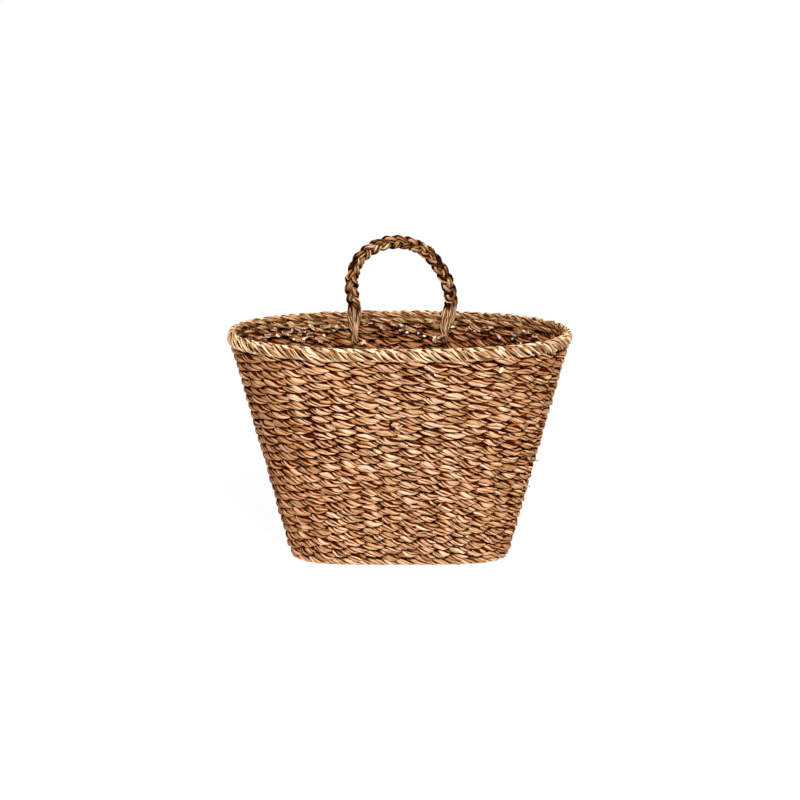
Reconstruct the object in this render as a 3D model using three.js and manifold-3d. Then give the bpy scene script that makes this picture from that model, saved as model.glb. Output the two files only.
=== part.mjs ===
// A woven magazine basket: an oval, flared wall of twisted cord worked over upright stakes,
// a woven base, a thick border round the mouth and one plaited carrying handle on the back wall.
// Millimetres. The basket stands on z = 0, its long side lies along X and its front faces -Y.

import * as THREE from 'three';
import { mergeVertices } from 'three/addons/utils/BufferGeometryUtils.js';
import Module from 'manifold-3d';

// Overall size, outside to outside
const rimLength = 400;
const rimWidth = 200;
const footLength = 256;
const footWidth = 128;
const bodyHeight = 264;
const overallHeight = 356;

// Exponent of each oval: 2 is an ellipse, more is squarer
const rimCornerShare = 2.25;
const footCornerShare = 4;

// Space left between touching pieces
const gap = 0.3;

// Stakes: those that cross the base from front to back, and those that run its length
const stakeRadius = 1.5;
const crossStakeCount = 12;
const lengthStakeCount = 5;
const stakeSides = 6;

// Woven cord of the wall, in courses that each stand for two rounds of cord
const courseCount = 25;
const cordThickness = 4;

// Flat cord of the base, laid between the stakes that run its length
const baseCordThickness = 3.2;
const bayCordCount = 2;
const outerBayShare = 0.97;

// Waling round under the wall, which the basket stands on
const footBorderWidth = 10;
const footBorderHeight = 4.2;

// Border round the mouth, with a groove below for the tops of the stakes
const borderWidth = 14;
const borderHeight = 12.7;
const borderTopBevel = 4;
const borderFootBevel = 2;
const grooveDepth = 7;

// Plaited handle: three strands that hook round one course of the back wall
const strandRadius = 2.4;
const tailRadius = 1.9;
const tipRadius = 1.2;
const plaitHalfWidth = 5.6;
const plaitHalfDepth = 4;
const plaitRampLength = 13;
const hookRadius = 9.1;
const crossingLength = 6.4;
const crossingStepCount = 2;
const strandSides = 6;

// The hooks: shares of a turn, the course from the top, stake gaps from the middle, and room beside them
const hookStartShare = 1 / 2;
const hookEndShare = 47 / 36;
const hookStepCount = 12;
const hookCourseCount = 2;
const hookGapCount = 2;
const hookSideRoom = 1;

// Middle line of the handle, in half spans between its feet and in heights of its crown
const archShares = [
  [-1, 0], [-1, 0.08], [-1, 0.3], [-1.06, 0.54], [-1.02, 0.72], [-0.85, 0.87], [-0.5, 0.965], [-0.1, 1],
  [0.3, 0.97], [0.62, 0.88], [0.86, 0.74], [1.03, 0.59], [1.12, 0.42], [1.11, 0.29], [1.03, 0.16],
  [1, 0.09], [1, 0],
];

// How far a leg spreads past its foot beside the border, in half spans
const legSpreadShare = 0.11;

// Colours of dried seagrass
const tints = {
  stake: '#7d5233',
  cords: ['#a67954', '#9c6f4c', '#b08461'],
  foot: '#8f6343',
  border: '#c29a74',
  handle: ['#a87c52', '#9a6e48', '#b58a60'],
};

// Places that follow from the sizes above
const stakeCount = 2 * (crossStakeCount + lengthStakeCount);
const stakeClearance = stakeRadius + gap;
const cordReach = stakeClearance + cordThickness;
const baseLevel = footBorderHeight + gap + stakeRadius;
const weaveBottom = baseLevel + stakeClearance;
const borderBottom = bodyHeight - borderHeight;
const stakeTop = borderBottom + grooveDepth - gap;
const coursePitch = (borderBottom - weaveBottom) / courseCount;
const courseHeight = coursePitch - gap;

// One oval line, from the middle of its front round to the right
function ovalLine(halfLength, halfWidth, cornerShare) {
  const steps = 720;
  const points = [];
  for (let step = 0; step <= steps; step += 1) {
    const angle = (step / steps) * 2 * Math.PI - Math.PI / 2;
    const along = Math.cos(angle);
    const across = Math.sin(angle);
    points.push(new THREE.Vector2(
      halfLength * Math.sign(along) * Math.abs(along) ** (2 / cornerShare),
      halfWidth * Math.sign(across) * Math.abs(across) ** (2 / cornerShare),
    ));
  }
  return new THREE.Path().setFromPoints(points);
}

const footLine = ovalLine(footLength / 2 - cordReach, footWidth / 2 - cordReach, footCornerShare);
const rimLine = ovalLine((rimLength - borderWidth) / 2, (rimWidth - borderWidth) / 2, rimCornerShare);

// The line of the stakes at a height, by its share of the way round: each stake is straight
function wallLine(share, height) {
  const turn = THREE.MathUtils.euclideanModulo(share, 1);
  return footLine.getPoint(turn).lerp(rimLine.getPoint(turn), height / bodyHeight);
}

// The way that the wall runs at a place, seen from above
function wallHeading(share, height) {
  const probeShare = 1 / 400;
  const along = wallLine(share + probeShare, height).sub(wallLine(share - probeShare, height)).normalize();
  return new THREE.Vector3(along.x, along.y, 0);
}

// A point of the wall, moved outwards by an offset
function wallPoint(share, height, offset = 0) {
  const line = wallLine(share, height);
  const along = wallHeading(share, height);
  return new THREE.Vector3(line.x + along.y * offset, line.y - along.x * offset, height);
}

// Where each stake stands on the wall, as its share of the way round
function stakeShare(index) {
  return (index - (crossStakeCount - 1) / 2) / stakeCount;
}

// A closed body through matching sections, joined end to end or capped
function loft(sections, closed) {
  const sides = sections[0].length;
  const spans = closed ? sections.length : sections.length - 1;
  const faces = [];
  for (let row = 0; row < spans; row += 1) {
    const here = row * sides;
    const next = ((row + 1) % sections.length) * sides;
    for (let side = 0; side < sides; side += 1) {
      const turn = (side + 1) % sides;
      faces.push(here + side, here + turn, next + turn, here + side, next + turn, next + side);
    }
  }
  const last = spans * sides;
  for (let side = 1; side < sides - 1 && !closed; side += 1) {
    faces.push(0, side + 1, side, last, last + side, last + side + 1);
  }
  const geometry = new THREE.BufferGeometry().setFromPoints(sections.flat());
  geometry.setIndex(faces);
  geometry.computeVertexNormals();
  return geometry;
}

// A round rod through points, mitred where it bends, with a radius at each point
function rod(points, radii, sides) {
  const heading = points[1].clone().sub(points[0]).normalize();
  const across = new THREE.Vector3(0, 0, 1).cross(heading);
  if (across.lengthSq() < Number.EPSILON) across.set(1, 0, 0);
  across.normalize();
  const sections = points.map((point, index) => {
    const next = points[index + 1];
    const ahead = next ? next.clone().sub(point).normalize() : heading.clone();
    const mitre = heading.clone().add(ahead).normalize();
    const beside = heading.clone().cross(across);
    const section = [];
    for (let side = 0; side < sides; side += 1) {
      const angle = (side / sides) * 2 * Math.PI;
      const spoke = across.clone().multiplyScalar(Math.cos(angle)).addScaledVector(beside, Math.sin(angle));
      spoke.multiplyScalar(radii[index]);
      spoke.addScaledVector(heading, -spoke.dot(mitre) / heading.dot(mitre));
      section.push(spoke.add(point));
    }
    across.applyQuaternion(new THREE.Quaternion().setFromUnitVectors(heading, ahead));
    heading.copy(ahead);
    return section;
  });
  return loft(sections, false);
}

// How much further out a strand turns at a point so that its sloping flanks still clear the stake
function flankStretch(before, here, after, along) {
  const arriving = here.clone().sub(before).normalize();
  const leaving = after.clone().sub(here).normalize();
  return 1 / Math.min(Math.abs(arriving.dot(along)), Math.abs(leaving.dot(along)));
}

// Whether a strand passes on the far side of a stake, turn about
function passSide(parity) {
  return parity % 2 ? 1 : -1;
}

// One course of the wall, in front of one stake and behind the next
function courseGeometry(course) {
  const bottom = weaveBottom + course * coursePitch;
  const top = bottom + courseHeight;
  const turns = Array.from({ length: stakeCount }, (_, stake) => {
    const side = passSide(course + stake);
    const middle = side * (stakeClearance + cordThickness / 2);
    return { share: stakeShare(stake), side, point: wallPoint(stakeShare(stake), bottom, middle) };
  });
  const sections = turns.map((turn, index) => {
    const before = turns[(index + stakeCount - 1) % stakeCount].point;
    const after = turns[(index + 1) % stakeCount].point;
    const stretch = flankStretch(before, turn.point, after, wallHeading(turn.share, bottom));
    const faces = [turn.side * stakeClearance * stretch, turn.side * cordReach * stretch];
    const inner = Math.min(...faces);
    const outer = Math.max(...faces);
    return [
      wallPoint(turn.share, bottom, outer),
      wallPoint(turn.share, bottom, inner),
      wallPoint(turn.share, top, inner),
      wallPoint(turn.share, top, outer),
    ];
  });
  return loft(sections, true);
}

// A ring along the wall, whose section is given as offsets and heights
function ringGeometry(profile, steps) {
  const sections = Array.from({ length: steps }, (_, step) => (
    profile.map(([offset, height]) => wallPoint(step / steps, height, offset))
  ));
  return loft(sections, true);
}

// Where the stakes from front to back cross the base, from left to right
const crossPlaces = Array.from({ length: crossStakeCount }, (_, stake) => (
  wallPoint(stakeShare(stake), baseLevel).x
));

// A stake from front to back: down the front wall, across the base and up the back wall
function crossStakeGeometry(stake) {
  const front = stakeShare(stake);
  const back = 1 / 2 - front;
  const points = [
    wallPoint(front, stakeTop),
    wallPoint(front, baseLevel),
    wallPoint(back, baseLevel),
    wallPoint(back, stakeTop),
  ];
  return rod(points, points.map(() => stakeRadius), stakeSides);
}

// The turning points of something that runs over and under the cross stakes, as x and height
function overUnder(places, endPlace, thickness, parity) {
  const turns = places.map((x) => {
    const side = passSide(parity + crossPlaces.indexOf(x));
    return { side, point: new THREE.Vector3(x, 0, side * (stakeClearance + thickness / 2)) };
  });
  const ends = [new THREE.Vector3(-endPlace, 0, 0), new THREE.Vector3(endPlace, 0, 0)];
  const along = new THREE.Vector3(1, 0, 0);
  const line = [ends[0], ...turns.map((turn) => turn.point), ends[1]];
  return turns.map((turn, index) => ({
    x: turn.point.x,
    side: turn.side,
    stretch: flankStretch(line[index], turn.point, line[index + 2], along),
  }));
}

// A stake along the base, over and under the others, and up the wall at both ends
function lengthStakeGeometry(stake) {
  const place = (stake - (lengthStakeCount - 1) / 2) / stakeCount;
  const right = 1 / 4 + place;
  const left = 3 / 4 - place;
  const corner = wallPoint(right, baseLevel);
  const runIn = (corner.x + crossPlaces[crossStakeCount - 1]) / 2;
  const reach = stakeRadius + stakeClearance;
  const passes = overUnder(crossPlaces, runIn, 2 * stakeRadius, stake).map((turn) => (
    new THREE.Vector3(turn.x, corner.y, baseLevel + turn.side * reach * turn.stretch)
  ));
  const points = [
    wallPoint(left, stakeTop),
    wallPoint(left, baseLevel),
    new THREE.Vector3(-runIn, corner.y, baseLevel),
    ...passes,
    new THREE.Vector3(runIn, corner.y, baseLevel),
    corner,
    wallPoint(right, stakeTop),
  ];
  return rod(points, points.map(() => stakeRadius), stakeSides);
}

// How far the clear floor of the basket reaches to the right, at a distance from its middle line
function clearReach(y) {
  const steps = 200;
  const inset = cordReach + cordThickness / 2 - gap;
  for (let step = steps; step > 0; step -= 1) {
    const edge = wallPoint(step / steps / 4, weaveBottom, -inset);
    if (-edge.y >= y) return edge.x;
  }
  return 0;
}

// A flat cord along the base, over and under the stakes that cross it
function baseCordGeometry(y, width, parity) {
  const limit = clearReach(Math.abs(y) + width / 2);
  const room = 2 * baseCordThickness;
  const places = crossPlaces.filter((x) => Math.abs(x) + room < limit);
  const blocked = crossPlaces.find((x) => x > places[places.length - 1]);
  const end = blocked === undefined ? limit : Math.min(limit, blocked - stakeClearance);
  const turns = overUnder(places, end, baseCordThickness, parity);
  const section = (x, low, high) => [
    new THREE.Vector3(x, y + width / 2, baseLevel + low),
    new THREE.Vector3(x, y + width / 2, baseLevel + high),
    new THREE.Vector3(x, y - width / 2, baseLevel + high),
    new THREE.Vector3(x, y - width / 2, baseLevel + low),
  ];
  const sections = turns.map((turn) => {
    const near = turn.side * stakeClearance * turn.stretch;
    const far = turn.side * (stakeClearance + baseCordThickness) * turn.stretch;
    return section(turn.x, Math.min(near, far), Math.max(near, far));
  });
  sections.unshift(section(-end, -baseCordThickness / 2, baseCordThickness / 2));
  sections.push(section(end, -baseCordThickness / 2, baseCordThickness / 2));
  return loft(sections, false);
}

// Where the cords of the base lie on one side of its middle line
function baseCordPlaces() {
  const places = [];
  const middle = (lengthStakeCount - 1) / 2;
  for (let bay = 0; bay <= middle; bay += 1) {
    const lineY = (index) => wallPoint(1 / 4 + index / stakeCount, baseLevel).y;
    const start = lineY(bay) + stakeClearance;
    const wallSide = outerBayShare * (footWidth / 2 - 2 * cordReach);
    const finish = bay < middle ? lineY(bay + 1) - stakeClearance : wallSide;
    const width = (finish - start - (bayCordCount - 1) * gap) / bayCordCount;
    for (let cord = 0; cord < bayCordCount; cord += 1) {
      const y = start + width / 2 + cord * (width + gap);
      places.push({ y, width, parity: middle + 1 + bay * (bayCordCount + 1) + cord });
    }
  }
  return places;
}

// The handle turns about the middle of the course that its feet hook round
const handleCourse = courseCount - hookCourseCount;
const pivotHeight = weaveBottom + handleCourse * coursePitch + courseHeight / 2;
const footShare = 1 / 2 - hookGapCount / stakeCount;
const pivot = wallPoint(footShare, pivotHeight);
const tailPitch = 2 * tailRadius + gap;

// The handle leans back until its wider leg touches the inner face of the border
function handleLean() {
  const rest = wallPoint(footShare, bodyHeight - borderTopBevel, -borderWidth / 2);
  const along = wallHeading(footShare, bodyHeight);
  const legReach = legSpreadShare * pivot.x + tailPitch + tailRadius;
  const back = rest.y - pivot.y - Math.abs(along.y / along.x) * legReach;
  const up = rest.z - pivot.z;
  const standOff = hookRadius - tailRadius - gap;
  return Math.acos(-standOff / Math.hypot(back, up)) - Math.atan2(up, back);
}

const lean = handleLean();
const legLength = (bodyHeight - pivotHeight) / Math.cos(lean);
const crownHeight = (overallHeight - plaitHalfWidth - strandRadius - pivotHeight) / Math.cos(lean);
const archLine = new THREE.CatmullRomCurve3(archShares.map(([across, up]) => (
  new THREE.Vector3(across * pivot.x, 0, up * crownHeight)
)));

// One strand of the handle: a hook, a leg, its part of the plait, a leg and a hook
function strandGeometry(strand) {
  const points = [];
  const radii = [];
  const length = archLine.getLength();
  const plaitStart = legLength + plaitRampLength;
  const plaitLength = length - 2 * plaitStart;
  const crossingCount = Math.round(plaitLength / crossingLength);
  const turnAt = (distance) => {
    const worked = THREE.MathUtils.clamp((distance - plaitStart) / plaitLength, 0, 1);
    return (strand * 2 * Math.PI) / 3 + (worked * crossingCount * Math.PI) / 3;
  };
  const addHook = (side, step) => {
    const wound = step / hookStepCount;
    const angle = 2 * Math.PI * THREE.MathUtils.lerp(hookStartShare, hookEndShare, wound);
    const rank = Math.round(Math.sin(turnAt(side < 0 ? 0 : length)));
    points.push(new THREE.Vector3(
      side * (pivot.x - rank * tailPitch),
      hookRadius * Math.cos(angle),
      hookRadius * Math.sin(angle),
    ));
    radii.push(THREE.MathUtils.lerp(tailRadius, tipRadius, wound ** 4));
  };
  const addArch = (distance) => {
    const share = distance / length;
    const centre = archLine.getPointAt(share);
    const along = archLine.getTangentAt(share);
    const turn = turnAt(distance);
    const fromEnd = Math.min(distance, length - distance);
    const open = THREE.MathUtils.smoothstep(fromEnd, legLength, plaitStart);
    const rank = Math.round(Math.sin(turn));
    const across = THREE.MathUtils.lerp(rank * tailPitch, plaitHalfWidth * Math.sin(turn), open);
    points.push(new THREE.Vector3(
      centre.x + along.z * across,
      open * plaitHalfDepth * Math.sin(2 * turn) - hookRadius,
      centre.z - along.x * across,
    ));
    radii.push(THREE.MathUtils.lerp(tailRadius, strandRadius, open));
  };
  const legStepCount = 5;
  const rampStepCount = 4;
  const plaitSteps = crossingCount * crossingStepCount;
  const legPlaces = [
    ...Array.from({ length: legStepCount }, (_, step) => (step / legStepCount) * legLength),
    ...Array.from({ length: rampStepCount }, (_, step) => (
      legLength + (step / rampStepCount) * plaitRampLength
    )),
  ];
  for (let step = hookStepCount; step > 0; step -= 1) addHook(-1, step);
  legPlaces.forEach((place) => addArch(place));
  for (let step = 0; step <= plaitSteps; step += 1) addArch(plaitStart + (step / plaitSteps) * plaitLength);
  legPlaces.reverse().forEach((place) => addArch(length - place));
  for (let step = 1; step <= hookStepCount; step += 1) addHook(1, step);
  return rod(points, radii, strandSides);
}

const wasm = await Module();
wasm.setup();

// A closed geometry as a solid that can be cut
function solidOf(geometry) {
  const bare = geometry.clone();
  bare.deleteAttribute('normal');
  bare.deleteAttribute('uv');
  const merged = mergeVertices(bare);
  return new wasm.Manifold(new wasm.Mesh({
    numProp: 3,
    vertProperties: merged.attributes.position.array,
    triVerts: Uint32Array.from(merged.index.array),
  }));
}

// A solid back as a geometry
function geometryOf(solid) {
  const { vertProperties, triVerts } = solid.getMesh();
  const geometry = new THREE.BufferGeometry();
  geometry.setAttribute('position', new THREE.BufferAttribute(vertProperties, 3));
  geometry.setIndex(new THREE.BufferAttribute(triVerts, 1));
  geometry.computeVertexNormals();
  return geometry;
}

// The weave parts round the two hooks of the handle, in the courses beside the one that they hold,
// far enough for the legs to lie forward over the mouth
function openForHooks(geometry) {
  const width = 2 * (tailPitch + tailRadius + hookSideRoom);
  const cutter = new THREE.BoxGeometry(width, 4 * cordReach, 2 * (hookRadius + tailRadius + gap));
  return [-1, 1].reduce((solid, side) => (
    solid.subtract(solidOf(cutter.clone().translate(side * pivot.x, pivot.y, pivot.z)))
  ), solidOf(geometry));
}

const basket = new THREE.Group();

// A named piece with its own finish
function addPiece(parent, name, geometry, color, roughness = 0.75) {
  const material = new THREE.MeshStandardMaterial({ color, roughness, metalness: 0 });
  const mesh = new THREE.Mesh(geometry, material);
  mesh.name = name;
  parent.add(mesh);
}

// A number for a piece's name
function numbered(name, index) {
  return `${name}_${String(index + 1).padStart(2, '0')}`;
}

// Base
const footProfile = [
  [footBorderWidth / 2, 0],
  [-footBorderWidth / 2, 0],
  [-footBorderWidth / 2, footBorderHeight],
  [footBorderWidth / 2, footBorderHeight],
];
addPiece(basket, 'foot_border', ringGeometry(footProfile, stakeCount), tints.foot);
for (let stake = 0; stake < crossStakeCount; stake += 1) {
  addPiece(basket, numbered('cross_stake', stake), crossStakeGeometry(stake), tints.stake);
}
for (let stake = 0; stake < lengthStakeCount; stake += 1) {
  addPiece(basket, numbered('length_stake', stake), lengthStakeGeometry(stake), tints.stake);
}
baseCordPlaces().forEach(({ y, width, parity }, index) => {
  const color = tints.cords[index % tints.cords.length];
  addPiece(basket, numbered('base_cord_front', index), baseCordGeometry(-y, width, parity), color);
  addPiece(basket, numbered('base_cord_back', index), baseCordGeometry(y, width, parity), color);
});

// Wall
for (let course = 0; course < courseCount; course += 1) {
  const plain = courseGeometry(course);
  const beside = Math.abs(course - handleCourse) === 1;
  const geometry = beside ? geometryOf(openForHooks(plain)) : plain;
  addPiece(basket, numbered('course', course), geometry, tints.cords[course % tints.cords.length]);
}

// Border
const half = borderWidth / 2;
const borderProfile = [
  [half, borderBottom + borderFootBevel],
  [half - borderFootBevel, borderBottom],
  [stakeClearance, borderBottom],
  [stakeClearance, borderBottom + grooveDepth],
  [-stakeClearance, borderBottom + grooveDepth],
  [-stakeClearance, borderBottom],
  [borderFootBevel - half, borderBottom],
  [-half, borderBottom + borderFootBevel],
  [-half, bodyHeight - borderTopBevel],
  [borderTopBevel - half, bodyHeight],
  [half - borderTopBevel, bodyHeight],
  [half, bodyHeight - borderTopBevel],
];
addPiece(basket, 'rim_border', ringGeometry(borderProfile, 2 * stakeCount), tints.border);

// Handle
const handle = new THREE.Group();
handle.position.set(0, pivot.y, pivot.z);
handle.rotation.x = -lean;
['a', 'b', 'c'].forEach((letter, strand) => {
  addPiece(handle, `handle_strand_${letter}`, strandGeometry(strand), tints.handle[strand]);
});
basket.add(handle);

export default basket;
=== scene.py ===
"""Dresses the woven magazine basket: twisted cord, rope border, plaited handle, and the studio round it."""

import logging
import math
from dataclasses import dataclass, replace
from enum import Enum

import bpy
import numpy as np
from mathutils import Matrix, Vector


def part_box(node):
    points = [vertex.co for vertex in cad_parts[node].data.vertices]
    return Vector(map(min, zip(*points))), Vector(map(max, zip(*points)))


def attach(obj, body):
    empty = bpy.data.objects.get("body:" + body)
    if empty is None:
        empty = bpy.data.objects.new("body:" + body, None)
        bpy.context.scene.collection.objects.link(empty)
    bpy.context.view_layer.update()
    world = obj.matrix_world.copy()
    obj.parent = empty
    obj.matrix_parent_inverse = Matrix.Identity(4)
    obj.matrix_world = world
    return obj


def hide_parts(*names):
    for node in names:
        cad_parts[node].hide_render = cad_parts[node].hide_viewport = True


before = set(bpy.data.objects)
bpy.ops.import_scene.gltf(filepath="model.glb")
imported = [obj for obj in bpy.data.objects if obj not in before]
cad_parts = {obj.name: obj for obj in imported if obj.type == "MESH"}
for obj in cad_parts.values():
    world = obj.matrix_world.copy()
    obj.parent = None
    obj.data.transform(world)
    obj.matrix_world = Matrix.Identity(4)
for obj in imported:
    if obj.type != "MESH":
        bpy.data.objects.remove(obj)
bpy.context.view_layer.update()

log = logging.getLogger("basket")

BASKET = "basket"
HANDLE = "handle"
FIBRE_AND_SHADE = "fibre_and_shade"
GRAIN = "grain"
TURN = 2 * math.pi
MM = 0.001

WHITE = (1.0, 1.0, 1.0, 1.0)

# The curve from a screen's values to light.
SCREEN_FULL = 255
SCREEN_KNEE = 0.04045
SCREEN_SLOPE = 12.92
SCREEN_OFFSET = 0.055
SCREEN_POWER = 2.4

# The strands of the handle's plait.
STRANDS = "abc"

# The way up along a path that lies level.
LEVEL_RISE = np.array([0.0, 0.0, 1.0])

# Where ends of cord come out inside the back wall: how far round the wall, as a share, and how high.
INSIDE_ENDS = (
    (0.690, 0.244), (0.6775, 0.247), (0.665, 0.250), (0.6525, 0.243), (0.640, 0.250), (0.635, 0.245),
    (0.635, 0.235), (0.630, 0.249), (0.622, 0.240), (0.618, 0.251), (0.605, 0.231), (0.600, 0.249),
    (0.590, 0.250), (0.582, 0.247), (0.575, 0.251), (0.5475, 0.231), (0.540, 0.250), (0.525, 0.247),
    (0.510, 0.250), (0.495, 0.246), (0.480, 0.248), (0.4625, 0.251), (0.455, 0.232), (0.445, 0.235),
    (0.430, 0.250), (0.410, 0.247), (0.395, 0.245), (0.380, 0.249), (0.370, 0.240), (0.3425, 0.243),
    (0.330, 0.248), (0.315, 0.246),
)
ENDS_PER_SPOT = 3

# Where near-white discs inside the back wall paint the light that shows through holes in the weave.
HOLE_LIGHT_SPOTS = (
    (0.6775, 0.245), (0.665, 0.244), (0.652, 0.244), (0.640, 0.237), (0.637, 0.235), (0.634, 0.234),
    (0.632, 0.243), (0.628, 0.237), (0.6, 0.237), (0.552, 0.231), (0.5, 0.243), (0.49, 0.241),
    (0.475, 0.240), (0.465, 0.236), (0.455, 0.235), (0.40, 0.243), (0.35, 0.238), (0.335, 0.234),
)

# Where cords are joined on the outside, with large ends or with one small end, and the dark strips there
# that paint the shade of their hollows.
FRONT_JOINS = ((0.9925, 0.175), (0.9950, 0.1735), (0.9975, 0.1730), (0.1225, 0.241))
ENDS_PER_JOIN = 2
SMALL_JOINS = ((0.110, 0.037), (0.010, 0.150), (0.002, 0.188), (0.965, 0.216), (0.060, 0.075))
HOLLOW_SHADE_SPOTS = ((0.9880, 0.1760), (0.9895, 0.1775), (0.9890, 0.1745), (0.1205, 0.2415), (0.108, 0.038))

# Where fibres stand off the right edge.
STRAY_FIBRES = ((0.215, 0.085), (0.222, 0.078), (0.225, 0.115))

# How far from a number of the way round the directions there are measured.
PROBE_SHARE = 1 / 400

# Every second side of a blade's section ends in a fold.
FOLD_EVERY = 2

# Makes a blade's section a lens: 1 would be an ellipse.
LENS_POWER = 1.3

# How much of the painted shade between blades the lower edge of one takes. Its upper edge takes all of it.
LOW_EDGE_SHARE = 0.45

# From how far below a blade's middle to how far above it that changes, as a share of its half width.
EDGE_SHARE = 0.7

# From which share of a cord's half height upwards the painted shadow of the round above darkens it.
TOP_SHADOW_SHARE = 0.4

# Between which shares of the weave's reach the painted shade deep in the weave gives way to full brightness.
OPEN_SHARES = (-0.15, 0.6)

# How far to each side of the weave's middle the painted shade of the inside sets in.
INNER_SPAN = 1 * MM

# How tint and warmth vary from blade to blade, and along one blade.
TINTS = (0.2, 0.8)
TINT_DRIFT = 0.45
WARMTHS = (0.3, 0.7)
WARMTH_DRIFT = 0.5

# The finish of the core in a cord, only seen between its blades, painted dark as the shade there.
HEART_TINT = 0.4
HEART_PAINTED_LIGHT = 0.15


def linear(code: str) -> tuple[float, float, float, float]:
    """Turns a colour as it looks on a screen into the shader's numbers.

    Args:
        code: Six hexadecimal digits, two each for red, green and blue.

    Returns:
        Red, green and blue in linear light, and 1 for alpha.
    """
    parts = [part / SCREEN_FULL for part in bytes.fromhex(code)]
    bent = [((part + SCREEN_OFFSET) / (1 + SCREEN_OFFSET)) ** SCREEN_POWER for part in parts]
    light = [curve if part > SCREEN_KNEE else part / SCREEN_SLOPE for part, curve in zip(parts, bent)]
    return (*light, 1.0)


def smooth(low: float, high: float, value: np.ndarray) -> np.ndarray:
    """Eases from 0 at low to 1 at high.

    Args:
        low: Where the rise starts.
        high: Where it ends.
        value: The numbers to ease.

    Returns:
        One number from 0 to 1 for each value.
    """
    share = np.clip((value - low) / (high - low), 0, 1)
    return share * share * (3 - 2 * share)


class Wobble:
    """A smooth random curve from -1 to 1 that closes on itself after one turn."""

    def __init__(self, rng: np.random.Generator, knots: int) -> None:
        """Draws the heights of the curve.

        Args:
            rng: The random numbers to draw from.
            knots: How many heights there are round the turn.
        """
        self.heights = rng.uniform(-1, 1, knots)

    def at(self, share: np.ndarray) -> np.ndarray:
        """Reads the curve.

        Args:
            share: Places along it, as shares of the turn.

        Returns:
            The height at each place.
        """
        count = len(self.heights)
        place = (share % 1) * count
        low = np.floor(place).astype(int)
        past = smooth(0, 1, place - low)
        return (1 - past) * self.heights[low % count] + past * self.heights[(low + 1) % count]


@dataclass(frozen=True)
class Drift:
    """How far something strays along a cord, and how many times it may change its way."""

    reach: float
    knots: int

    def along(self, rng: np.random.Generator, share: np.ndarray) -> np.ndarray:
        """How far it has strayed at each share of the way."""
        return self.reach * Wobble(rng, self.knots).at(share)


def unit(vectors: np.ndarray) -> np.ndarray:
    """Scales each row to length one."""
    return vectors / np.linalg.norm(vectors, axis=-1, keepdims=True)


def crossfade(first: np.ndarray, second: np.ndarray, share: np.ndarray) -> np.ndarray:
    """Goes from one pair of sizes to another.

    Args:
        first: The pair at share 0.
        second: The pair at share 1.
        share: How far over to the second, at each row.

    Returns:
        A pair for each row.
    """
    return np.asarray(first) * (1 - share)[:, None] + np.asarray(second) * share[:, None]


@dataclass
class Path:
    """A line through space with its own directions at every point."""

    points: np.ndarray
    out: np.ndarray
    up: np.ndarray
    closed: bool

    @classmethod
    def ring(cls, points: np.ndarray, rise: np.ndarray) -> "Path":
        """Makes a closed path round the basket.

        Args:
            points: Its points, counterclockwise seen from above.
            rise: The way up, at each point or the same all round.

        Returns:
            The path, whose out points away from the inside.
        """
        along = unit(np.roll(points, -1, axis=0) - np.roll(points, 1, axis=0))
        out = unit(np.cross(along, np.broadcast_to(rise, points.shape)))
        return cls(points, out, np.cross(out, along), True)

    @classmethod
    def run(cls, points: np.ndarray, rise: np.ndarray) -> "Path":
        """Makes an open path that keeps one way up.

        Args:
            points: Its points.
            rise: The way up, the same all along.

        Returns:
            The path.
        """
        along = unit(np.gradient(points, axis=0))
        out = unit(np.cross(along, np.broadcast_to(rise, points.shape)))
        return cls(points, out, np.cross(out, along), False)

    @property
    def lengths(self) -> np.ndarray:
        """How far each point lies along the path, with the closing length last on a ring."""
        ends = np.vstack([self.points, self.points[:1]]) if self.closed else self.points
        return np.concatenate([[0], np.cumsum(np.linalg.norm(np.diff(ends, axis=0), axis=1))])


@dataclass(frozen=True)
class FibreAndShade:
    """What a strand's surface tells its finish at every point: its tint, its warmth, and in crest its painted
    light and shade.
    """

    tint: np.ndarray
    painted_light: np.ndarray
    warmth: np.ndarray


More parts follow.
